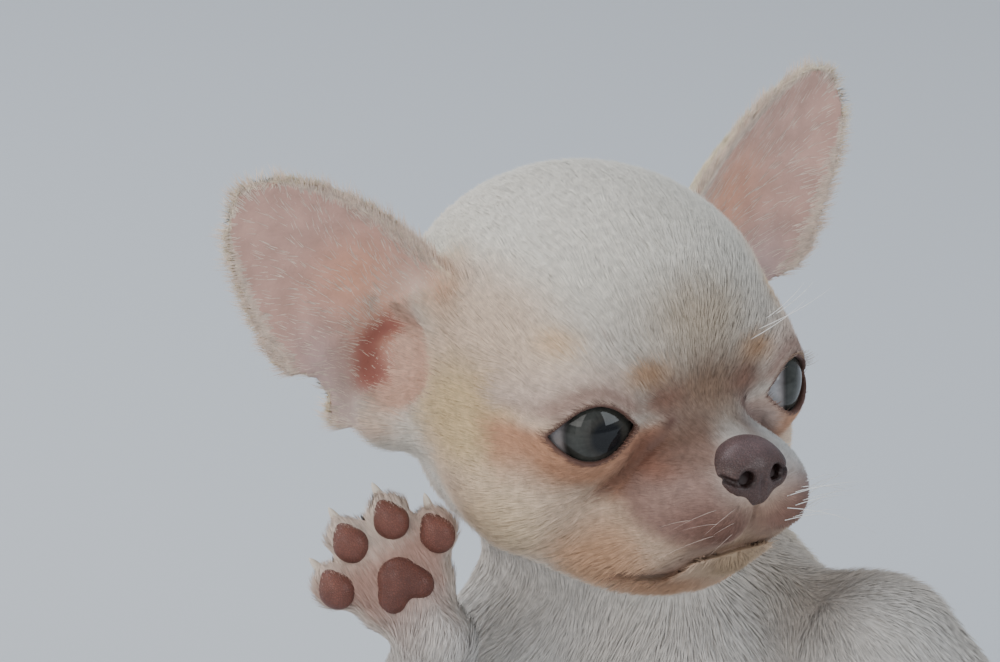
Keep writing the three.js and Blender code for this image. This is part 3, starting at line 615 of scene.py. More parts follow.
def ripple(p, size, seed):
    """Soft noise between minus one and one, about size millimetres from hill to hill."""
    rng = np.random.default_rng(seed)
    total = np.zeros(len(p))
    for _ in range(6):
        way = rng.normal(size=3)
        way *= 2 * math.pi / size / np.linalg.norm(way) * rng.uniform(0.6, 1.4)
        total += np.sin(p @ way + rng.uniform(0, 6.3) + 1.5 * np.sin(p @ way[[1, 2, 0]]))
    return total / 3.2


def mixed(base, colour, weight):
    return base + (np.array(colour) - base) * weight[:, None]


def head_colour(q):
    """The coat's colour on the head, from cream on the crown to brown at the stop, and painted shade in
    its creases, along the mouth, under the jaw and in the nostrils.
    """
    m = folded(q)
    x, y, z = m[:, 0], m[:, 1], m[:, 2]
    c = np.tile(np.array(CREAM), (len(q), 1))
    c = mixed(c, BUFF, 0.8 * smooth((y - 12) / 16))
    c = mixed(c, FOREHEAD, 0.9 * smooth((21 - z) / 12) * smooth((-15 - y) / 10))
    c = mixed(c, linear("cdae94"), 0.9 * smooth((-5 - z) / 8) * smooth((-14 - y) / 8))
    c = mixed(c, linear("b9a68f"), 0.85 * blob(m, (0, -27, 12), (13, 10, 10), 0.9))
    c = mixed(c, TEMPLE, 0.95 * smooth((x - 14) / 9) * smooth((6 - y) / 8) * smooth((23 - z) / 9))
    c = mixed(c, linear("d9a983"), 0.9 * blob(m, (25, 2, 16), (6, 7, 9), 0.9))
    c = mixed(c, GOLD, 0.9 * blob(m, (27, -7, -3), (10, 13, 12), 0.7))
    c = mixed(c, linear("c3a380"), 0.6 * blob(m, (26, -13, 2), (5, 6, 6), 0.9))
    c = mixed(c, BUFF, 0.9 * blob(m, (25, -14, -17), (11, 11, 11), 0.8))
    c = mixed(c, EAR_ROOT, 0.95 * blob(m, (27.5, 9.5, 2), (6, 8, 15), 0.5))
    c = mixed(c, linear("e0b08f"), 0.8 * blob(m, (31, 10.5, -8), (6, 6, 4), 0.9))
    c = mixed(c, JOWL, 0.9 * blob(m, (14, -24, -22), (13, 11, 9), 0.8))
    # painted shade: darker brown on the underside of the jaw
    c = mixed(c, linear("b58a6b"), 0.9 * blob(m, (7, -30, -27), (12, 12, 6), 0.8))
    c = mixed(c, linear("9c8469"), 0.9 * blob(m, (0, -37, -21), (9, 9, 6), 0.8))
    lids = np.maximum(fissure(m), from_eye(m, EYE_RADIUS + LID))
    up = eye_view(m)[1]
    c = mixed(c, PALE_LID, 0.9 * smooth((6.5 - lids) / 3.5) * smooth((up - 1) / 3) * smooth((x - 9) / 4))
    c = mixed(c, linear("d8b48c"), 0.8 * blob(m, (20, -20.3, 10.8), (6, 6, 3), 0.9))
    # painted shade of a crease: a darker band along the fold above the upper lid
    c = mixed(c, linear("8d6d62"), 0.75 * ridge(lids - 1.6, 1.3) * smooth((up - 1) / 3))
    c = mixed(c, EYE_RING, 0.95 * smooth((6.5 - lids) / 4) * smooth((2 - up) / 3))
    c = mixed(c, linear("b07c5d"), 0.85 * blob(m, (12.5, -26.5, -9.5), (5, 6, 3.6), 0.8))
    c = mixed(c, MAUVE, 0.95 * blob(m, (10, -35, -9.5), (11, 12, 8.5), 0.5))
    c = mixed(c, linear("956b5a"), 0.95 * blob(m, (9.5, -31, -4.5), (7, 8, 5), 0.7))
    c = mixed(c, linear("85695c"), 0.95 * blob(m, (6, -34.5, -3.5), (7, 9, 5), 0.7))
    c = mixed(c, STOP, 0.9 * blob(m, (0, -29.5, 2.5), (15, 9, 9), 0.9))
    c = mixed(c, CORNER, 0.8 * blob(m, (7, -29, 2.2), (5.5, 6, 4), 0.9))
    c = mixed(c, linear("aa7e58"), 0.8 * blob(m, (9.5, -28.4, 6.2), (6, 6, 3.4), 0.9))
    c = mixed(c, linear("aaa29b"), 0.85 * blob(m, (0, -37, -1.5), (5.5, 5, 4.5), 0.9))
    c = mixed(c, linear("735a4d"), 0.85 * blob(q, (-4, -32, -1), (6, 6, 4.5), 0.9))
    c = mixed(c, GREY, 0.9 * blob(q, (9.5, -35, -5.5), (9, 13, 9), 0.8))
    c = mixed(c, LIP, 0.9 * blob(m, (5.5, -41, -13.4), (12, 10, 7.5), 0.9))
    # along the mouth: the lip's own darker edge, and painted shade in the groove between the lips
    below_lip = lip_height(y) - z
    mouth = smooth((-20 - y) / 4) * smooth((14 - x) / 2)
    c = mixed(c, linear("745648"), 0.7 * ridge(below_lip + 0.1, 0.8) * mouth)
    # painted shadow under the upper lip at the corner of the mouth
    c = mixed(c, linear("57473a"), 0.8 * blob(m, (8, -27.5, -25), (6, 6, 1.5), 0.9))
    c = mixed(c, CORNER, 0.5 * blob(q, (-13.7, -24.6, 11.2), 0.8, 0.6))
    # painted shade along the crease of the muzzle fold
    fold = rod(m, (9, -29.2, -2.6), (15, -24.8, -11.8), 0, 0)
    c = mixed(c, linear("6d4736"), 0.85 * ridge(fold, 1.1))
    # painted shade: near black inside the nostrils
    c = mixed(c, NOSTRIL_SHADE, smooth((2.6 - nostril(m)) / 0.8))
    return mixed(c, LID_SKIN, np.clip(lid_rim(m) + 0.95 * tear_mark(m), 0, 1))


def nostril(m):
    return rod(m, (2.9, -44, -6.4), (2.2, -34, -6.2), 0, 0)


def lid_rim(m):
    return smooth((0.95 - fissure(m)) / 0.55) * smooth((3.5 - from_eye(m, EYE_RADIUS)) / 1.5)


def tear_mark(m):
    return ridge(rod(m, (6.6, -29.5, -0.4), (9.6, -28.6, -4.2), 0, 0), 1.1)


def bare_skin(q):
    """Where skin shows instead of hair: lid rims, lips and the edge of the nose."""
    m = folded(q)
    leather = smooth((0.35 - nose(q)) / 0.3) + smooth((2.6 - nostril(m)) / 0.5)
    lips = ridge(m[:, 2] - lip_height(m[:, 1]), 0.6) * smooth((-24 - m[:, 1]) / 3)
    return np.clip(lid_rim(m) + leather + lips + tear_mark(m), 0, 1)


def ear_inside(q, name):
    """One on the cup's side of an ear, with how far up it and across it each point is."""
    side = 1 if name == "ear_left" else -1
    axes = LEFT_EAR if side > 0 else RIGHT_EAR
    e = (mirrored(q, side) - row(*EAR_AT)) @ axes
    t = np.clip(e[:, 0] / EAR_LONG, 0, 1)
    half = EAR_HALF * np.maximum(1 - np.minimum(t, 0.98) ** 2.4, 0.02) ** 0.75
    k = (e[:, 1] - ear_middle(t)) / half
    depth = 7.5 * (1 - t) ** 1.3 + 1.2
    return smooth((e[:, 2] - (1.5 - depth * (1 - k * k))) / 0.8 + 0.5), t, k


def ear_canal(q, reach=4.4):
    """One in the red hollow at the bottom of each ear. Its dark red is partly the skin's own and partly
    painted shade of the hollow.
    """
    e = ear_view(folded(q), q[:, 0] > 0)
    bend = (3.2, -4.5, -5.6)
    d = np.minimum(rod(e, (2.8, 0.3, -5.3), bend, 0, 0), rod(e, bend, (-0.5, -7.6, -5), 0, 0.8))
    return smooth((reach - d) / 4.2)


def ear_colour(q, name):
    """The ear's skin, and the hair on it: pale hair behind and round the rim, thin over the pink cup."""
    inside, t, k = ear_inside(q, name)
    hair = np.tile(np.array(CREAM), (len(q), 1))
    hair = mixed(hair, linear("e6d6b4"), 0.5 + 0.3 * smooth((0.6 - t) / 0.5))
    skin = np.tile(np.array(EAR_PINK), (len(q), 1))
    skin = mixed(skin, EAR_PEACH, 0.9 * smooth((0.62 - t) / 0.3) * ridge(k - 0.25, 0.5))
    skin = mixed(skin, linear("b9a3a2"), 0.6 * smooth((0.5 - t) / 0.3) * ridge(k + 0.65, 0.35))
    skin = skin * (1 + 0.06 * ripple(q, 6.0, 4))[:, None]
    rim = np.clip(smooth((np.abs(k) - 0.86) / 0.1) + smooth((t - 0.935) / 0.03), 0, 1)
    skin = mixed(hair, skin, inside * (1 - rim))
    inner_hair = mixed(hair, EAR_HAIR, inside)
    return skin, inner_hair


def body_colour(p, name):
    """The coat's colour behind the head: off-white on the chest and legs, cream to gold over the back."""
    base = {"neck": "bcaa9a", "torso": "c8beb2", "tail": "cbb592", "paw": "cdb9aa"}
    kind = kind_of(name)
    c = np.tile(np.array(linear(base.get(kind, "c6bcb0"))), (len(p), 1))
    if kind in ("foreleg", "thigh", "shank"):
        c = mixed(c, BUFF, 0.65 * smooth((60 - p[:, 2]) / 26))
    if kind in ("torso", "thigh", "foreleg", "neck"):
        c = mixed(c, GOLD, 0.75 * smooth((p[:, 1] + 2) / 26))
        c = mixed(c, linear("c9c5c0"), 0.75 * smooth((-8 - p[:, 1]) / 14) * smooth((96 - p[:, 2]) / 10))
    if name == "foreleg_right_paw":
        sole = (p - row(*RAISED_AT)) @ RAISED_AXES
        c = mixed(c, linear("a8796a"), 0.8 * smooth((-0.6 - sole[:, 2]) / 2) * smooth((6.5 - sole[:, 1]) / 6))
    return c


def lie_of(p, q, name):
    """Which way the hair lies on one part of the body, before it is laid along the skin."""
    if name == "head":
        way = q - row(0, -46, -8)
        way[:, 2] += 6 * smooth((q[:, 2] - 2) / 10)
        return way @ HEAD_AXES.T
    if name.startswith("ear"):
        side = 1 if name == "ear_left" else -1
        axes = LEFT_EAR if side > 0 else RIGHT_EAR
        _, _, k = ear_inside(q, name)
        way = np.outer(np.ones(len(q)), axes[:, 0]) + np.outer(0.9 * np.clip(k, -1, 1), axes[:, 1])
        return mirrored(way, side) @ HEAD_AXES.T
    if kind_of(name) == "paw":
        return np.tile(PAWS[name][1][:, 1], (len(p), 1))
    kind = name if name in BODY_RODS else name.split("_")[0]
    side = -1 if name.endswith("right") and kind != name else 1
    m = mirrored(p, side)
    d = np.stack([rod(m, a, b, ra, rb) for a, b, ra, rb, _ in BODY_RODS[kind]], 1)
    w = np.exp(-(d - d.min(1)[:, None]) / 4)
    ways = np.array([unit(np.array(b) - np.array(a)) for a, b, _, _, _ in BODY_RODS[kind]])
    way = mirrored((w / w.sum(1)[:, None]) @ ways, side)
    return way


def coat_at(p):
    """The coat at points of the form: its depth, length, width, density and lie, the colour of the skin and
    of the hair on it, and which part of the body each point is on."""
    w = shares(p)
    q = to_head(p)
    kinds = [COAT[kind_of(name)] for name in NAMES]
    depth, length, width, density = (w @ np.array([k[i] for k in kinds]) for i in range(4))
    lie = np.zeros((len(p), 3))
    colour = np.zeros((len(p), 3))
    hair = np.zeros((len(p), 3))
    for i, name in enumerate(NAMES):
        some = w[:, i] > 0.01
        at, local = p[some], q[some]
        way = lie_of(at, local, name)
        way = way / np.maximum(np.linalg.norm(way, axis=1), 1e-6)[:, None]
        lie[some] += way * w[some, i][:, None]
        if name.startswith("ear"):
            tint, own_hair = ear_colour(local, name)
        else:
            tint = head_colour(local) if name == "head" else body_colour(at, name)
            own_hair = tint
        colour[some] += tint * w[some, i][:, None]
        hair[some] += own_hair * w[some, i][:, None]
    m = folded(q)
    near_face = w[:, 0] + w[:, 1] + w[:, 2]
    from_nose = np.linalg.norm(m - row(0, -42, -9), axis=1)
    from_lids = np.maximum(fissure(m), from_eye(m, EYE_RADIUS + LID))
    short = np.minimum(smooth((from_nose - 5) / 26), smooth((from_lids + 1.2) / 11))
    length = length * (1 - near_face * (1 - (0.36 + 0.64 * short)))
    width = width * (1 - near_face * 0.3 * (1 - short))
    depth = depth * (1 - near_face * (1 - (0.2 + 0.8 * short)))
    density = density * (1 + near_face * 0.8 * (1 - short))
    bare = bare_skin(q) * near_face
    for i, name in ((1, "ear_left"), (2, "ear_right")):
        inside, t, k = ear_inside(q, name)
        fringe = smooth((np.abs(k) - 0.74) / 0.16) + smooth((t - 0.86) / 0.08)
        root = 0.5 * smooth((0.16 - t) / 0.1) * smooth((k + 0.1) / 0.3)
        bare = np.maximum(bare, w[:, i] * inside * (1 - np.clip(fringe + root + 0.1, 0, 1)))
        length = length * (1 + w[:, i] * (0.5 * np.clip(fringe, 0, 1) + inside * (0.2 + root)))
        density = density * (1 + 0.8 * w[:, i] * np.clip(fringe, 0, 1))
    # the canal's own redder skin and painted shade of its hollow
    deep = ear_canal(q) * near_face
    colour = mixed(colour, CANAL, deep)
    bare = np.maximum(bare, 0.9 * deep)
    length = length * (1 + 0.5 * ear_canal(q, 6.2) * near_face)
    depth = depth * (1 - bare)
    density = density * (1 - bare)
    return depth, length, width, density, lie, colour, hair, w.argmax(1)


# Meshes


def to_frame(p):
    """From the drawing's millimetres to the frame's metres."""
    return (np.asarray(p, float) - (0, SEAT_AT, 0)) * MM


def made_mesh(name, points, faces, material, uv=None, tint=None, normals=None):
    """A mesh object from arrays: its points, its faces as rows of equal length, a place on OFBake for each
    corner of a face, and a colour and a shading normal for each point."""
    mesh = bpy.data.meshes.new(name)
    corners = faces.shape[1]
    mesh.vertices.add(len(points))
    mesh.vertices.foreach_set("co", np.asarray(points, F).ravel())
    mesh.loops.add(faces.size)
    mesh.loops.foreach_set("vertex_index", faces.astype(np.int32).ravel())
    mesh.polygons.add(len(faces))
    mesh.polygons.foreach_set("loop_start", np.arange(0, faces.size, corners, dtype=np.int32))
    mesh.polygons.foreach_set("use_smooth", np.ones(len(faces), bool))
    mesh.update(calc_edges=True)
    if uv is not None:
        mesh.uv_layers.new(name="OFBake").data.foreach_set("uv", np.asarray(uv, F).ravel())
    if tint is not None:
        layer = mesh.color_attributes.new("tint", "FLOAT_COLOR", "POINT")
        layer.data.foreach_set("color", np.column_stack([tint, np.ones(len(tint))]).astype(F).ravel())
    mesh.validate()
    if normals is not None:
        mesh.normals_split_custom_set_from_vertices(normals.astype(F))
    mesh.materials.append(material)
    piece = bpy.data.objects.new(name, mesh)
    bpy.context.scene.collection.objects.link(piece)
    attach(piece, "root")
    return piece


def read(mesh, attribute, width=1):
    data = mesh.attributes[attribute].data
    key = {1: "value", 3: "vector", 4: "color"}[width]
    values = np.zeros(len(data) * width, F)
    data.foreach_get(key, values)
    return values.reshape(-1, width) if width > 1 else values


def keep(mesh, attribute, values):
    """Values of the points kept on the mesh for the pieces that grow from it."""
    kind, key = ("FLOAT_VECTOR", "vector") if values.ndim > 1 else ("FLOAT", "value")
    mesh.attributes.new(attribute, kind, "POINT").data.foreach_set(key, values.astype(F).ravel())


def point_normals(points, faces):
    a, b = points[faces[:, 2]] - points[faces[:, 0]], points[faces[:, 3]] - points[faces[:, 1]]
    n = np.cross(a, b)
    total = np.zeros_like(points)
    for i in range(4):
        np.add.at(total, faces[:, i], n)
    return total / np.maximum(np.linalg.norm(total, axis=1), 1e-12)[:, None]


def unwrapped(points, faces, part):
    """An unwrap of the skin's own shape, as a place for each corner of a face: each part of the body is
    opened into the sides it shows along its own axes, laid flat and packed together."""
    corner = points[faces]
    n = np.cross(corner[:, 2] - corner[:, 0], corner[:, 3] - corner[:, 1])
    flat = np.zeros((len(faces), 4, 2))
    chart = np.zeros(len(faces), int)
    for i, name in enumerate(NAMES):
        some = np.nonzero(part == i)[0]
        if not len(some):
            continue
        axes = np.eye(3)
        if name.startswith("ear"):
            ear_frame = (LEFT_EAR if name == "ear_left" else RIGHT_EAR).astype(float)
            axes = HEAD_AXES.astype(float) @ (np.diag([1 if name == "ear_left" else -1, 1, 1]) @ ear_frame)
        elif name == "head":
            axes = HEAD_AXES.astype(float)
        local, way = corner[some] @ axes, n[some] @ axes
        main = np.full(len(some), 2) if name.startswith("ear") else np.abs(way).argmax(1)
        ahead = np.take_along_axis(way, main[:, None], 1)[:, 0] > 0
        others = np.array([[1, 2], [2, 0], [0, 1]])[main]
        flat[some] = np.take_along_axis(local, others[:, None, :].repeat(4, 1), 2)
        chart[some] = i * 6 + main * 2 + ahead
    return packed(flat, chart)


def packed(flat, chart, margin=1.5):
    """Charts set side by side in rows on a unit square."""
    names = np.unique(chart)
    lows = np.array([flat[chart == c].reshape(-1, 2).min(0) for c in names])
    sizes = np.array([flat[chart == c].reshape(-1, 2).max(0) for c in names]) - lows + margin
    side = math.sqrt((sizes[:, 0] * sizes[:, 1]).sum()) * 1.12
    x = y = height = 0.0
    uv = np.zeros_like(flat)
    for i in np.argsort(-sizes[:, 1]):
        if x + sizes[i, 0] > side:
            x, y, height = 0.0, y + height, 0.0
        some = chart == names[i]
        uv[some] = flat[some] - lows[i] + (x + margin / 2, y + margin / 2)
        x, height = x + sizes[i, 0], max(height, sizes[i, 1])
    whole_side = max(side, y + height)
    return uv / whole_side


# Materials


def material(name):
    made = bpy.data.materials.new(name)
    made.use_nodes = True
    return made, made.node_tree, made.node_tree.nodes["Principled BSDF"]


def add(tree, kind, links=None, **settings):
    """One node, with its settings, and its inputs as values or as other nodes' outputs."""
    made = tree.nodes.new(kind)
    for key, value in settings.items():
        setattr(made, key, value)
    for key, value in (links or {}).items():
        if isinstance(value, bpy.types.NodeSocket):
            tree.links.new(value, made.inputs[key])
        else:
            made.inputs[key].default_value = value
    return made


def set_shader(shader, **values):
    for key, value in values.items():
        shader.inputs[key.replace("_", " ")].default_value = value


def fur_material():
    """Guard hairs of a short coat: keratin, so a satin shine along pale strands. Each tuft carries its own
    colour, and a fine mottle stands for the strands in it, drawn a little coarser than life."""
    made, tree, shader = material("short puppy hair")
    tint = add(tree, "ShaderNodeVertexColor", layer_name="tint")
    place = add(tree, "ShaderNodeTexCoord")
    mottle = add(
        tree, "ShaderNodeTexNoise", {"Vector": place.outputs["Object"], "Scale": 900.0, "Detail": 2.0}
    )
    shade = add(
        tree,
        "ShaderNodeMapRange",
        {"Value": mottle.outputs["Fac"], "From Min": 0.3, "From Max": 0.7, "To Min": 0.86, "To Max": 1.12},
    )
    colour = add(
        tree,
        "ShaderNodeVectorMath",
        {0: tint.outputs["Color"], 1: shade.outputs["Result"]},
        operation="MULTIPLY",
    )
    tree.links.new(colour.outputs["Vector"], shader.inputs["Base Color"])
    set_shader(shader, Roughness=0.6, IOR=1.4, Sheen_Weight=0.04, Sheen_Roughness=0.4)
    return made


def skin_material():
    """Living skin under the coat: soft and matte, its creases and pores some tenths of a millimetre apart."""
    made, tree, shader = material("puppy skin")
    tint = add(tree, "ShaderNodeVertexColor", layer_name="tint")
    place = add(tree, "ShaderNodeTexCoord")
    fine = add(
        tree, "ShaderNodeTexNoise", {"Vector": place.outputs["Object"], "Scale": 1400.0, "Detail": 4.0}
    )
    broad = add(
        tree, "ShaderNodeTexNoise", {"Vector": place.outputs["Object"], "Scale": 260.0, "Detail": 3.0}
    )
    shade = add(
        tree,
        "ShaderNodeMapRange",
        {"Value": broad.outputs["Fac"], "From Min": 0.3, "From Max": 0.7, "To Min": 0.88, "To Max": 1.08},
    )
    colour = add(
        tree,
        "ShaderNodeVectorMath",
        {0: tint.outputs["Color"], 1: shade.outputs["Result"]},
        operation="MULTIPLY",
    )
    bump = add(tree, "ShaderNodeBump", {"Height": fine.outputs["Fac"], "Strength": 0.5, "Distance": 0.0002})
    tree.links.new(colour.outputs["Vector"], shader.inputs["Base Color"])
    tree.links.new(bump.outputs["Normal"], shader.inputs["Normal"])
    set_shader(shader, Roughness=0.55, IOR=1.4, Sheen_Weight=0.04, Sheen_Roughness=0.5)
    return made


def leather_material(name, colour, dark, grain, roughness, coat):
    """Bare pebbled skin, as on a nose or a pad: cells a few tenths of a millimetre across with darker grooves
    between them, a little moist. The piece's own tint is painted shade that darkens it in its hollows,
    and on the nose also a painted reflection that lightens and blues its top."""
    made, tree, shader = material(name)
    tint = add(tree, "ShaderNodeVertexColor", layer_name="tint")
    place = add(tree, "ShaderNodeTexCoord")
    scale = 1 / (grain * MM)
    cells = add(
        tree,
        "ShaderNodeTexVoronoi",
        {"Vector": place.outputs["Object"], "Scale": scale},
        feature="DISTANCE_TO_EDGE",
    )
    cloud = add(
        tree, "ShaderNodeTexNoise", {"Vector": place.outputs["Object"], "Scale": 420.0, "Detail": 3.0}
    )
    groove = add(
        tree,
        "ShaderNodeMapRange",
        {"Value": cells.outputs["Distance"], "From Max": 0.22},
        interpolation_type="SMOOTHSTEP",
    )
    patch = add(
        tree,
        "ShaderNodeMix",
        {"Factor": cloud.outputs["Fac"], "A": (*colour, 1), "B": (*dark, 1)},
        data_type="RGBA",
    )
    tone = add(
        tree,
        "ShaderNodeMapRange",
        {"Value": groove.outputs["Result"], "To Min": 0.72, "To Max": 1.05},
    )
    pebbled = add(
        tree,
        "ShaderNodeVectorMath",
        {0: patch.outputs[2], 1: tone.outputs["Result"]},
        operation="MULTIPLY",
    )
    shade = add(
        tree,
        "ShaderNodeVectorMath",
        {0: pebbled.outputs["Vector"], 1: tint.outputs["Color"]},
        operation="MULTIPLY",
    )
    bump = add(
        tree, "ShaderNodeBump", {"Height": groove.outputs["Result"], "Strength": 0.6, "Distance": 0.00015}
    )
    tree.links.new(shade.outputs["Vector"], shader.inputs["Base Color"])
    tree.links.new(bump.outputs["Normal"], shader.inputs["Normal"])
    set_shader(shader, Roughness=roughness, IOR=1.42, Coat_Weight=coat, Coat_Roughness=0.25)
    return made


def eye_material():
    """A young puppy's wet eye: the iris still slate, and a tear film over all of it that mirrors the room."""
    made, tree, shader = material("wet eye")
    tint = add(tree, "ShaderNodeVertexColor", layer_name="tint")
    place = add(tree, "ShaderNodeTexCoord")
    veins = add(
        tree, "ShaderNodeTexNoise", {"Vector": place.outputs["Object"], "Scale": 700.0, "Detail": 4.0}
    )
    shade = add(
        tree,
        "ShaderNodeMapRange",
        {"Value": veins.outputs["Fac"], "From Min": 0.35, "From Max": 0.65, "To Min": 0.8, "To Max": 1.15},
    )
    colour = add(
        tree,
        "ShaderNodeVectorMath",
        {0: tint.outputs["Color"], 1: shade.outputs["Result"]},
        operation="MULTIPLY",
    )
    tree.links.new(colour.outputs["Vector"], shader.inputs["Base Color"])
    set_shader(shader, Roughness=0.6, IOR=1.05, Coat_Weight=1.0, Coat_Roughness=0.02, Coat_IOR=1.38)
    return made


def horn_material():
    """Puppy claw: pale horn, grown in fine layers that roughen its satin shine a little."""
    made, tree, shader = material("claw horn")
    tint = add(tree, "ShaderNodeVertexColor", layer_name="tint")
    place = add(tree, "ShaderNodeTexCoord")
    layers = add(
        tree, "ShaderNodeTexNoise", {"Vector": place.outputs["Object"], "Scale": 1600.0, "Detail": 2.0}
    )
    bump = add(
        tree, "ShaderNodeBump", {"Height": layers.outputs["Fac"], "Strength": 0.25, "Distance": 0.0001}
    )
    tree.links.new(tint.outputs["Color"], shader.inputs["Base Color"])
    tree.links.new(bump.outputs["Normal"], shader.inputs["Normal"])
    set_shader(shader, Roughness=0.35, IOR=1.54)
    return made


def whisker_material():
    """Whiskers and lashes: stiff single hairs, smooth enough to glint."""
    made, tree, shader = material("whisker hair")
    tint = add(tree, "ShaderNodeVertexColor", layer_name="tint")
    tree.links.new(tint.outputs["Color"], shader.inputs["Base Color"])
    set_shader(shader, Roughness=0.3, IOR=1.55)
    return made


def floor_material():
    """Matt studio paper: plain and pale, with a faint tooth."""
    made, tree, shader = material("studio paper")
    place = add(tree, "ShaderNodeTexCoord")
    tooth = add(
        tree, "ShaderNodeTexNoise", {"Vector": place.outputs["Object"], "Scale": 900.0, "Detail": 3.0}
    )
    bump = add(tree, "ShaderNodeBump", {"Height": tooth.outputs["Fac"], "Strength": 0.05, "Distance": 0.0002})
    tree.links.new(bump.outputs["Normal"], shader.inputs["Normal"])
    shader.inputs["Base Color"].default_value = (*linear("c9ccd0"), 1)
    set_shader(shader, Roughness=0.9)
    return made


# Settings


class CoatSettings(PropertyGroup):
    """How the coat is laid."""

    most: IntProperty(
        name="Most tufts",
        description="The most tufts the whole coat may have",
        default=350000,
        min=1000,
    )
    fullness: FloatProperty(
        name="Fullness",
        description="How dense the coat is, as a share of its usual density",
        default=1.0,
        min=0.1,
        max=2,
        subtype="FACTOR",
    )
    width: FloatProperty(
        name="Tuft width",
        description="How wide the tufts are, as a share of their usual width",
        default=1.0,
        min=0.3,
        max=3,
        subtype="FACTOR",
    )
    seed: IntProperty(name="Seed", description="Which of the possible coats is laid", default=7)


class ColourSettings(PropertyGroup):
    """Colours of the bare parts."""

    nose: FloatVectorProperty(
        name="Nose", description="Nose leather", default=linear("5c433d"), subtype="COLOR"
    )
    nose_dark: FloatVectorProperty(
        name="Nose, dark", description="Darker patches of the nose", default=linear("3a2927"), subtype="COLOR"
    )
    pad: FloatVectorProperty(name="Pads", description="Pad skin", default=linear("865243"), subtype="COLOR")
    pad_dark: FloatVectorProperty(
        name="Pads, dark", description="Darker patches of the pads", default=linear("5f382f"), subtype="COLOR"
    )
    iris: FloatVectorProperty(
        name="Iris", description="The coloured ring of the eye", default=linear("393a36"), subtype="COLOR"
    )
    white: FloatVectorProperty(
        name="White", description="White of the eye", default=linear("9d9b9c"), subtype="COLOR"
    )
    claw: FloatVectorProperty(
        name="Claws", description="Claw horn", default=linear("d8cdbd"), subtype="COLOR"
    )


# Pieces


SKIN_FROM = (-62.0, -66.0, -3.0)
SKIN_TO = (74.0, 92.0, 162.0)


class PUPPY_OT_skin(Operator):
    """Net the puppy's form, draw it in by the depth of the coat and keep the coat's lie and colour on it"""

    bl_idname = "puppy.skin"
    bl_label = "Skin"

    def execute(self, context):
        low, high = SKIN_FROM, SKIN_TO
        start = [-grid_reach(FACE_MIDDLE[i] - low[i]) for i in range(3)]
        stop = [grid_reach(high[i] - FACE_MIDDLE[i]) for i in range(3)]
        points, faces = net(whole, start, stop, 1.0, draw_in)
        points = settle(whole, points)
        normals = point_normals(points, faces)
        depth, length, width, density, lie, colour, hair, part = coat_at(points)
        skin = points - normals * (depth * smooth(points[:, 2] / 1.5))[:, None]
        uv = unwrapped(points.astype(float), faces, part[faces[:, 0]])
        piece = made_mesh("skin", to_frame(skin), faces, skin_material(), uv.reshape(-1, 2), colour)
        lie -= normals * (lie * normals).sum(1)[:, None]
        lie /= np.maximum(np.linalg.norm(lie, axis=1), 1e-6)[:, None]
        keep(piece.data, "lie", lie)
        keep(piece.data, "outward", normals)
        keep(piece.data, "hair_length", length)
        keep(piece.data, "hair_width", width)
        keep(piece.data, "hair_colour", hair)
        keep(piece.data, "hair_depth", depth)
        keep(piece.data, "hair_density", density)
        keep(piece.data, "part", part.astype(float))
        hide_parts(*NAMES)
        return {"FINISHED"}


def corner_uv(mesh):
    uv = np.zeros(len(mesh.loops) * 2, F)
    mesh.uv_layers["OFBake"].data.foreach_get("uv", uv)
    return uv.reshape(-1, 4, 2)


CLEAR_OF_FLOOR = 0.4


def scattered(mesh, settings, rng):
    """Places on the mesh, more of them where the coat is dense, each as a face and the shares of its corners.
    Gives the mesh's points and faces too."""
    points = np.zeros(len(mesh.vertices) * 3, F)
    mesh.vertices.foreach_get("co", points)
    points = points.reshape(-1, 3)
    faces = np.zeros(len(mesh.loops), np.int32)
    mesh.loops.foreach_get("vertex_index", faces)
    faces = faces.reshape(-1, 4)
    p = points[faces]
    area = np.linalg.norm(np.cross(p[:, 2] - p[:, 0], p[:, 3] - p[:, 1]), axis=1) / 2 / MM ** 2
    want = area * read(mesh, "hair_density")[faces].mean(1)
    want *= p[:, :, 2].mean(1) > CLEAR_OF_FLOOR * MM
    total = want.sum()
    count = min(settings.most, int(total * settings.fullness))
    face = np.searchsorted(np.cumsum(want), rng.uniform(0, total, count))
    face = np.minimum(face, len(faces) - 1)
    s, t = rng.uniform(0, 1, (2, len(face)))
    corners = np.stack([(1 - s) * (1 - t), s * (1 - t), s * t, (1 - s) * t], 1)
    return points, faces, face, corners


def tufts(root, out, way, length, width, lift):
    """Closed three-sided spikes: a flat base at the root, and a point."""
    side = np.cross(out, way)
    up = out * np.cos(lift)[:, None] - way * np.sin(lift)[:, None]
    along = way * np.cos(lift)[:, None] + out * np.sin(lift)[:, None]
    ring = [0.5 * side - 0.1 * up, -0.5 * side - 0.1 * up, 0.25 * up]
    points = np.stack([*(root + r * width[:, None] for r in ring), root + along * length[:, None]], 1)
    faces = np.array([(0, 1, 2), (0, 3, 1), (1, 3, 2), (2, 3, 0)])
    faces = faces[None] + (np.arange(len(root)) * 4)[:, None, None]
    return points.reshape(-1, 3), faces.reshape(-1, 3)


MOST_TUFTS = 49000  # in one piece of the coat, at four faces each
PATCH = 0.0015  # half the width of a tuft's patch on OFBake
TUFT_SHADES = (0.93, 0.93, 0.93, 1.1)  # at the three corners of its root and at its tip
RIM = {"across": 0.78, "along": 0.9}  # where an ear's edge begins, as shares of its half width and length


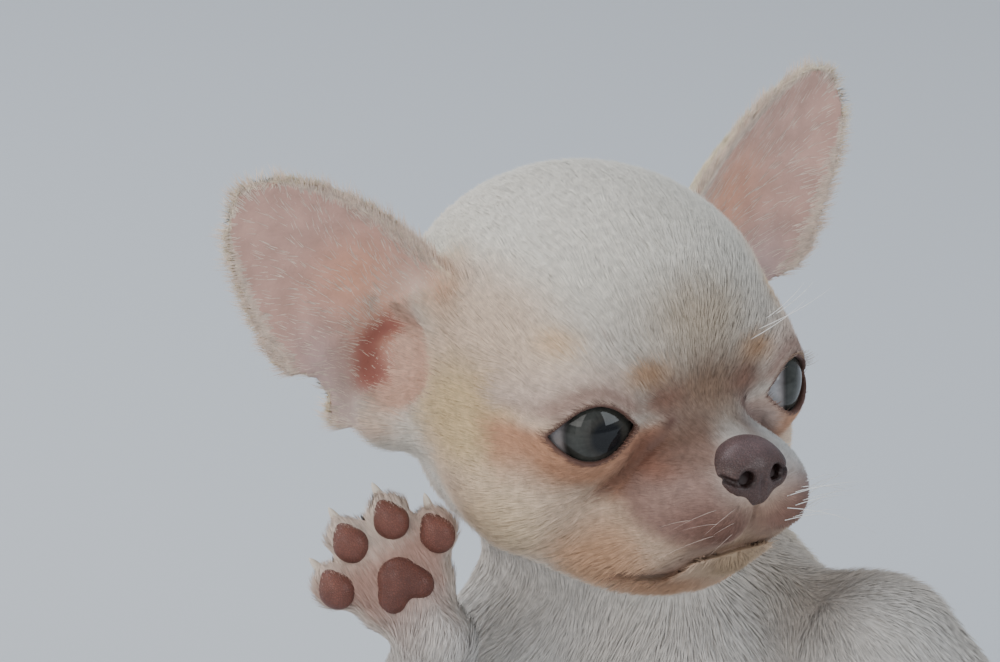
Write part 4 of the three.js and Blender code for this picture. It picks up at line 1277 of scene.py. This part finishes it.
class PUPPY_OT_coat(Operator):
    """Lay the coat on the skin as solid tufts, finest on the face and longest on the body"""

    bl_idname = "puppy.coat"
    bl_label = "Coat"

    def execute(self, context):
        settings = context.scene.puppy_coat
        skin = bpy.data.objects.get("skin")
        if skin is None:
            raise RuntimeError("the coat grows on the skin, so the skin comes first")
        rng = np.random.default_rng(settings.seed)
        mesh = skin.data
        points, faces, face, corners = scattered(mesh, settings, rng)

        def at_roots(values):
            v = values[faces[face]]
            return (v * corners[:, :, None]).sum(1) if v.ndim == 3 else (v * corners).sum(1)

        root, out, way = at_roots(points), at_roots(read(mesh, "outward", 3)), at_roots(read(mesh, "lie", 3))
        length, depth = at_roots(read(mesh, "hair_length")), at_roots(read(mesh, "hair_depth"))
        width, tint = at_roots(read(mesh, "hair_width")), at_roots(read(mesh, "hair_colour", 3))
        out /= np.linalg.norm(out, axis=1)[:, None]
        drawing = root / MM + (0, SEAT_AT, 0)
        swirl = 0.20 * ripple(drawing, 9.0, 1) + 0.14 * ripple(drawing, 3.0, 2)
        swirl += rng.normal(0, 0.09, len(root))
        way = way * np.cos(swirl)[:, None] + np.cross(out, way) * np.sin(swirl)[:, None]
        way -= out * (way * out).sum(1)[:, None]
        way /= np.maximum(np.linalg.norm(way, axis=1), 1e-6)[:, None]
        length = length * rng.uniform(0.7, 1.2, len(root))
        width = width * settings.width * rng.uniform(0.75, 1.25, len(root))
        lift = np.arctan2(depth * 1.15, length) + rng.normal(0.02, 0.05, len(root))
        shade = 1 + 0.05 * ripple(drawing, 3.0, 3) + rng.normal(0, 0.05, len(root))
        tint = np.clip(tint * shade[:, None], 0.004, 0.95)
        uv = (corner_uv(mesh)[face] * corners[:, :, None]).sum(1)
        part = read(mesh, "part")[faces[face, 0]].astype(int)
        rim = np.zeros(len(root), bool)
        for number, name in ((1, "ear_left"), (2, "ear_right")):
            _, t, k = ear_inside(to_head(drawing), name)
            rim |= (part == number) & ((np.abs(k) > RIM["across"]) | (t > RIM["along"]))
        hair = fur_material()
        for label, some in (("head", (part < 3) & ~rim), ("ear_rims", rim), ("body", part >= 3)):
            order = np.nonzero(some)[0]
            for number, start in enumerate(range(0, len(order), MOST_TUFTS)):
                i = order[start:start + MOST_TUFTS]
                seat = root[i] - out[i] * (0.1 * width[i] * MM)[:, None]
                shape = tufts(seat, out[i], way[i], length[i] * MM, width[i] * MM, lift[i])
                facing = out[i] if label != "ear_rims" else None
                self.lay(f"coat_{label}_{number + 1}", *shape, facing, tint[i], uv[i], hair)
        return {"FINISHED"}

    @staticmethod
    def lay(name, points, faces, facing, tint, uv, hair):
        """One piece of the coat. Its tufts are shaded much as the skin under them is, so that they close into
        one soft coat. Those round the edge of an ear, which show from both sides, are shaded as they are."""
        normals = None
        if facing is not None:
            own = points.reshape(-1, 4, 3) - points.reshape(-1, 4, 3)[:, :3].mean(1)[:, None]
            own /= np.maximum(np.linalg.norm(own, axis=2), 1e-9)[:, :, None]
            own[:, 3] = 0
            normals = (facing[:, None] + 0.35 * own).reshape(-1, 3)
            normals /= np.linalg.norm(normals, axis=1)[:, None]
        points[:, 2] = np.maximum(points[:, 2], 0.0)
        ways = np.array([(-1, -1), (1, -1), (0, 1), (0.3, 0.5)]) * PATCH
        spots = (uv[:, None] + ways).reshape(-1, 2)
        colour = (tint[:, None] * np.array(TUFT_SHADES)[:, None]).reshape(-1, 3)
        piece = made_mesh(name, points, faces, hair, spots[faces.ravel()], colour, normals)
        piece.data.polygons.foreach_set("use_smooth", np.full(len(faces), facing is not None))


def wall(around, rings):
    """Triangles between rings of points, each ring's points numbered after those of the ring before it."""
    faces = []
    for i in range(rings - 1):
        for j in range(around):
            a, b = i * around + j, i * around + (j + 1) % around
            faces += [(a, a + around, b + around), (a, b + around, b)]
    return faces


CORNEA_RISE = 0.4
IRIS = 0.78
PUPIL = 0.3
GLANCE = {"left": 28.0, "right": 14.0}


class PUPPY_OT_eyes(Operator):
    """Turn both eyeballs, each with a raised cornea over its iris"""

    bl_idname = "puppy.eyes"
    bl_label = "Eyes"

    def execute(self, context):
        colours = context.scene.puppy_colours
        wet = eye_material()
        for name, side in SIDES.items():
            points, faces, angle, turn = self.globe(96, 64)
            reach = EYE_RADIUS - 0.15 + CORNEA_RISE * smooth((IRIS + 0.06 - angle) / 0.4)
            fibres = 1 + 0.12 * np.sin(turn * 37) * np.sin(turn * 11 + 1)
            tint = np.tile(np.array(colours.white), (len(points), 1))
            tint = mixed(tint, linear("6a5a52"), smooth((IRIS + 0.3 - angle) / 0.25) * 0.5)
            tint = mixed(tint, colours.iris, smooth((IRIS + 0.03 - angle) / 0.07))
            tint = mixed(tint, linear("15120f"), ridge(angle - IRIS, 0.07) * 0.75)
            tint = mixed(tint, linear("2b2622"), ridge(angle - PUPIL - 0.03, 0.1) * 0.6)
            tint *= np.where(angle < IRIS, fibres, 1)[:, None]
            tint = mixed(tint, linear("17181a"), smooth((PUPIL + 0.02 - angle) / 0.05))
            look = unit(EYE_OUT + side * math.tan(math.radians(GLANCE[name])) * EYE_SIDE)
            across = unit(np.cross((0, 0, 1), look))
            axes = np.stack([across, np.cross(look, across), look])
            local = (points * reach[:, None]) @ axes + EYE_AT
            local[:, 0] *= side
            if side < 0:
                faces = faces[:, ::-1]
            piece = made_mesh("eye_of_" + name, to_frame(from_head(local)), faces, wet, None, tint)
            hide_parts("eye_" + name)
        return {"FINISHED"}

    @staticmethod
    def globe(around, down):
        """A ball about its own z axis, with how far each point is from its front pole and round it."""
        polar = np.linspace(0, math.pi, down + 1)[1:-1]
        turn = np.linspace(0, 2 * math.pi, around, endpoint=False)
        a, t = np.meshgrid(polar, turn, indexing="ij")
        rings = np.stack([np.sin(a) * np.cos(t), np.sin(a) * np.sin(t), np.cos(a)], -1).reshape(-1, 3)
        points = np.vstack([rings, [(0, 0, 1), (0, 0, -1)]])
        front, behind = len(rings), len(rings) + 1
        faces = wall(around, down - 1)
        last = (down - 2) * around
        for j in range(around):
            k = (j + 1) % around
            faces += [(front, j, k), (last + j, behind, last + k)]
        return points, np.array(faces), np.append(a.ravel(), (0, math.pi)), np.append(t.ravel(), (0, 0))


class PUPPY_OT_nose(Operator):
    """Form the nose leather, with its nostrils and the groove between them"""

    bl_idname = "puppy.nose"
    bl_label = "Nose"

    def execute(self, context):
        colours = context.scene.puppy_colours
        points, faces = net(nose, (-9, -46, -14), (9, -32, 0), 0.26)
        points = settle(nose, points)
        m = folded(points)
        hollow = smooth((1.9 - rod(m, (2.9, -43.6, -6.4), (2.2, -38, -6.2), 0, 0)) / 0.9)
        slit = smooth((0.9 - rod(m, (3.3, -43.4, -7.1), (5.9, -40.4, -6), 0, 0)) / 0.5)
        # painted reflection: the top of the leather lightened and blued as if it mirrored the sky
        tint = mixed(np.ones((len(points), 3)), (1.9, 2.2, 2.6), 0.8 * smooth((m[:, 2] + 5) / 3.5))
        # painted shade: darker down the nostrils and in the slits at their sides
        tint = mixed(tint, (0.22, 0.12, 0.1), np.maximum(hollow, 0.8 * slit))
        leather = leather_material("nose leather", colours.nose, colours.nose_dark, 0.42, 0.45, 0.2)
        piece = made_mesh("nose_leather", to_frame(from_head(points)), faces, leather, None, tint)
        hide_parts("nose")
        return {"FINISHED"}


def pads(q):
    """The pads of the raised paw in its own frame: four toe pads, each narrowing towards its claw, and the
    broad one behind them."""
    d = palm_pad(q)
    for x, y in RAISED_TOES:
        local = q - row(x, y - 0.2, 0)
        narrow = 1 - 0.4 * smooth((local[:, 1] + 0.8) / 5)
        local = np.column_stack([local[:, 0] / narrow, local[:, 1], q[:, 2]])
        d = np.minimum(d, ellipsoid(local, (0, 0, -2.4), (2.7, 3.2, 2.3)))
    return d


def palm_pad(q):
    d = ellipsoid(q, (-0.3, -1, -3.2), (3.3, 3.3, 2.6))
    for x in (-2.6, 2):
        d = blend(d, ellipsoid(q, (x, -3, -3.1), (2.1, 2.3, 2.2)), 1.2)
    return d


class PUPPY_OT_pads(Operator):
    """Form the pads of the raised paw"""

    bl_idname = "puppy.pads"
    bl_label = "Pads"

    def execute(self, context):
        colours = context.scene.puppy_colours
        points, faces = net(pads, (-16, -10, -8), (14, 13, 2), 0.3)
        points = settle(pads, points)
        placed = points @ RAISED_AXES.T + row(*RAISED_AT)
        # painted shade: the palm pad darker all over, and every pad darker towards where it meets the paw
        deep = smooth((1.5 - palm_pad(points)) / 1.5) * 0.35 + 0.4 * smooth((points[:, 2] + 4.4) / 1.8)
        tint = mixed(np.ones((len(points), 3)), (0.3, 0.2, 0.18), np.minimum(deep, 1))
        leather = leather_material("pad skin", colours.pad, colours.pad_dark, 0.34, 0.5, 0.1)
        piece = made_mesh("pads", to_frame(placed), faces, leather, None, tint)
        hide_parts("foreleg_right_palm_pad", *[f"foreleg_right_toe_pad_{i}" for i in range(1, 5)])
        return {"FINISHED"}


def taper(spine, width, sides=6, flat=1.0):
    """Points and faces of a closed tube along a spine, its width given for each point of the spine."""
    spine = np.asarray(spine, float)
    run = np.gradient(spine, axis=0)
    run /= np.linalg.norm(run, axis=1)[:, None]
    across = unit(np.cross(run[0], (0.1, 0.2, 1.0)))
    rings = []
    for i, p in enumerate(spine):
        across = unit(across - run[i] * (across @ run[i]))
        over = np.cross(run[i], across)
        turn = np.linspace(0, 2 * math.pi, sides, endpoint=False)
        rings.append(p + width[i] * (np.outer(np.cos(turn), across) + flat * np.outer(np.sin(turn), over)))
    points = np.vstack([*rings, spine[:1], spine[-1:]])
    n, last = len(spine), (len(spine) - 1) * sides
    faces = wall(sides, n)
    for j in range(sides):
        k = (j + 1) % sides
        faces += [(n * sides, j, k), (last + j, n * sides + 1, last + k)]
    return points, np.array(faces)[:, ::-1]


def joined(pieces):
    points, faces, start = [], [], 0
    for p, f in pieces:
        points.append(p)
        faces.append(f + start)
        start += len(p)
    return np.vstack(points), np.vstack(faces)


CLAW_FAN = 0.12


class PUPPY_OT_claws(Operator):
    """Shape the claws, one out of the end of each toe"""

    bl_idname = "puppy.claws"
    bl_label = "Claws"

    def execute(self, context):
        colours = context.scene.puppy_colours
        horn = horn_material()
        for name, (at, axes, toes) in PAWS.items():
            made = []
            for x, y in toes:
                out = unit((CLAW_FAN * x, y + 2, 0))
                start = np.array((x, y, 1.3)) + out * (TOE - 2.2)
                t = np.linspace(0, 1, 11)
                spine = start + np.outer(t * 4.5, out) + np.outer(-1.1 * t ** 2.2, (0, 0, 1))
                width = 0.82 * (1 - t ** 2.6) ** 0.75 + 0.05
                points, faces = taper(spine, width, 10, 1.15)
                made.append((points @ axes.T.astype(float) + at, faces))
            points, faces = joined(made)
            points[:, 2] = np.maximum(points[:, 2], 0.05)
            tint = np.tile(np.array(colours.claw), (len(points), 1))
            piece = made_mesh("claws_" + name, to_frame(points), faces, horn, None, tint)
            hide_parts(*[f"{name}_claw_{i}" for i in range(1, 5)])
        return {"FINISHED"}


def on_face(x, z):
    """The front of the face at a place, coming from ahead of it."""
    y = -60.0
    for _ in range(60):
        d = float(head(np.array([[x, y, z]], F))[0])
        if d < 0.02:
            break
        y += 0.8 * d
    return np.array((x, y, z))


class PUPPY_OT_whiskers(Operator):
    """Set the whiskers in the muzzle and brows, and the lashes along the upper lids"""

    bl_idname = "puppy.whiskers"
    bl_label = "Whiskers and lashes"

    def execute(self, context):
        rng = np.random.default_rng(5)
        white, pale, brown = linear("ece9e4"), linear("c9b5a8"), linear("a58d78")
        strands = []
        kinds = ((1, 1, (10, 17), 0.07, white), (-1, 2, (4, 9), 0.035, pale))
        for side, each, long, width, colour in kinds:
            for row_z, count in ((-10.5, 4), (-12.5, 5), (-14.5, 4)):
                for i in range(0, count, each):
                    root = on_face(side * (5.2 + 1.5 * i), row_z + 0.2 * i)
                    out = unit((side * (1.0 + 0.1 * i), -0.35 + 0.2 * i, rng.uniform(-0.2, 0.35)))
                    spine = self.strand(root, out, rng.uniform(*long), (0, 0.4, -0.45))
                    strands.append((spine, width, colour))
            for x, z in ((11, 9.5), (13.5, 10.3), (16, 10), (9, 8.6)):
                root = on_face(side * x, z)
                out = unit((side * 0.6, -0.7, 0.5 + rng.uniform(-0.1, 0.3)))
                spine = self.strand(root, out, rng.uniform(*long), (0, 0.5, -0.1))
                strands.append((spine, width, colour))
            for s in np.linspace(-0.8, 0.85, 34):
                strands.append((self.lash(s, side, rng), 0.05, brown))
        hair = whisker_material()
        for name, own in (("whiskers", (white, pale)), ("lashes", (brown,))):
            some = [strand for strand in strands if strand[2] in own]
            made = []
            for spine, width, _ in some:
                made.append(taper(spine, width * (1 - 0.85 * np.linspace(0, 1, len(spine))), 5))
            points, faces = joined(made)
            tint = np.repeat([colour for _, _, colour in some], [len(part[0]) for part in made], axis=0)
            piece = made_mesh(name, to_frame(from_head(points)), faces, hair, None, tint)
        return {"FINISHED"}

    @staticmethod
    def strand(root, out, long, bend):
        t = np.linspace(0, 1, 10)
        return root - out * 0.4 + np.outer(t * long, out) + np.outer(t * t * long * 0.6, bend)

    @staticmethod
    def lash(s, side, rng):
        tilt = math.radians(FISSURE["tilt"])
        a, b = FISSURE["half"] * s, FISSURE["top"] * (1 - s * s) * (1 - 0.22 * s) + 0.35
        across, up = a * math.cos(tilt) - b * math.sin(tilt), b * math.cos(tilt) + a * math.sin(tilt)
        up += FISSURE["lift"]
        out = math.sqrt(max((EYE_RADIUS + 1.0) ** 2 - across ** 2 - up ** 2, 1))
        root = np.array(EYE_AT) + across * EYE_SIDE + up * EYE_UP + out * EYE_OUT
        way = unit(EYE_OUT + 0.1 * EYE_UP + (0.5 * s + rng.normal(0, 0.1)) * EYE_SIDE)
        t = np.linspace(0, 1, 6)
        long = rng.uniform(1.5, 2.6)
        spine = root + np.outer(t * long, way) + np.outer(t * t * long * 0.35, EYE_UP) - way * 0.3
        spine[:, 0] *= side
        return spine


FLOOR_HALF = 12.0
SOFTBOXES = (  # name, place and size in metres, watts and colour
    ("window", (-0.55, 0.15, 1.0), 0.7, 7.5, (0.86, 0.93, 1.0)),
    ("left", (-1.1, -0.45, 0.4), 0.9, 5.0, (1.0, 0.96, 0.92)),
    ("front", (-0.35, -1.0, 0.75), 0.8, 6.0, (1.0, 0.97, 0.93)),
    ("low", (0.1, -1.1, 0.2), 0.9, 2.0, (1.0, 0.97, 0.94)),
    ("side", (0.9, -0.3, 0.5), 0.6, 4.5, (0.88, 0.95, 1.0)),
)


class PUPPY_OT_stage(Operator):
    """Lay the floor, and set the lights and the camera"""

    bl_idname = "puppy.stage"
    bl_label = "Stage"

    def execute(self, context):
        scene = context.scene
        mesh = bpy.data.meshes.new("studio_floor")
        corners = [(x * FLOOR_HALF, y * FLOOR_HALF, 0) for x, y in ((-1, -1), (1, -1), (1, 1), (-1, 1))]
        mesh.from_pydata(corners, [], [(0, 1, 2, 3)])
        mesh.materials.append(floor_material())
        floor = bpy.data.objects.new("studio_floor", mesh)
        scene.collection.objects.link(floor)
        world = bpy.data.worlds.new("studio")
        world.use_nodes = True
        world.node_tree.nodes["Background"].inputs["Color"].default_value = (0.80, 0.88, 1.0, 1)
        world.node_tree.nodes["Background"].inputs["Strength"].default_value = 0.45
        scene.world = world
        for softbox in SOFTBOXES:
            self.light(*softbox)
        self.camera(scene)
        return {"FINISHED"}

    @staticmethod
    def light(name, at, size, power, colour):
        lamp = bpy.data.lights.new(name, "AREA")
        lamp.size = size
        lamp.energy = power
        lamp.color = colour
        piece = bpy.data.objects.new(name, lamp)
        piece.location = at
        piece.rotation_euler = (Vector((0, -0.05, 0.1)) - Vector(at)).to_track_quat("-Z", "Y").to_euler()
        bpy.context.scene.collection.objects.link(piece)

    @staticmethod
    def camera(scene):
        right, up, back = view_axes()
        middle = to_frame(np.array(HEAD_AT))
        aim = middle + right * (PICTURE[0] / 2 - HEAD_PIXEL[0]) / PIXELS_PER_METRE
        aim = aim + up * (HEAD_PIXEL[1] - PICTURE[1] / 2) / PIXELS_PER_METRE
        lens = bpy.data.cameras.new("camera")
        lens.sensor_width = 36.0
        lens.lens = lens.sensor_width * CAMERA_AWAY / (PICTURE[0] / PIXELS_PER_METRE)
        lens.clip_start = 0.01
        camera = bpy.data.objects.new("camera", lens)
        place = Matrix([[*row_of] for row_of in np.stack([right, up, back], 1)]).to_4x4()
        place.translation = Vector(aim + back * CAMERA_AWAY)
        camera.matrix_world = place
        scene.collection.objects.link(camera)
        scene.camera = camera


class PUPPY_PT_panel(Panel):
    """The puppy's settings and pieces"""

    bl_label = "Chihuahua puppy"
    bl_idname = "PUPPY_PT_panel"
    bl_space_type = "VIEW_3D"
    bl_region_type = "UI"
    bl_category = "Puppy"

    def draw(self, context):
        for group in (context.scene.puppy_coat, context.scene.puppy_colours):
            for key in group.__annotations__:
                self.layout.prop(group, key)
        for step in STEPS:
            self.layout.operator(step.bl_idname)


STEPS = (
    PUPPY_OT_stage,
    PUPPY_OT_skin,
    PUPPY_OT_coat,
    PUPPY_OT_eyes,
    PUPPY_OT_nose,
    PUPPY_OT_pads,
    PUPPY_OT_claws,
    PUPPY_OT_whiskers,
)
CLASSES = (CoatSettings, ColourSettings, *STEPS, PUPPY_PT_panel)


def register():
    for each in CLASSES:
        bpy.utils.register_class(each)
    bpy.types.Scene.puppy_coat = PointerProperty(type=CoatSettings)
    bpy.types.Scene.puppy_colours = PointerProperty(type=ColourSettings)


def unregister():
    del bpy.types.Scene.puppy_colours
    del bpy.types.Scene.puppy_coat
    for each in reversed(CLASSES):
        bpy.utils.unregister_class(each)


def main():
    register()
    for step in STEPS:
        group, name = step.bl_idname.split(".")
        getattr(getattr(bpy.ops, group), name)()
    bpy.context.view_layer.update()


if __name__ == "__main__":
    main()
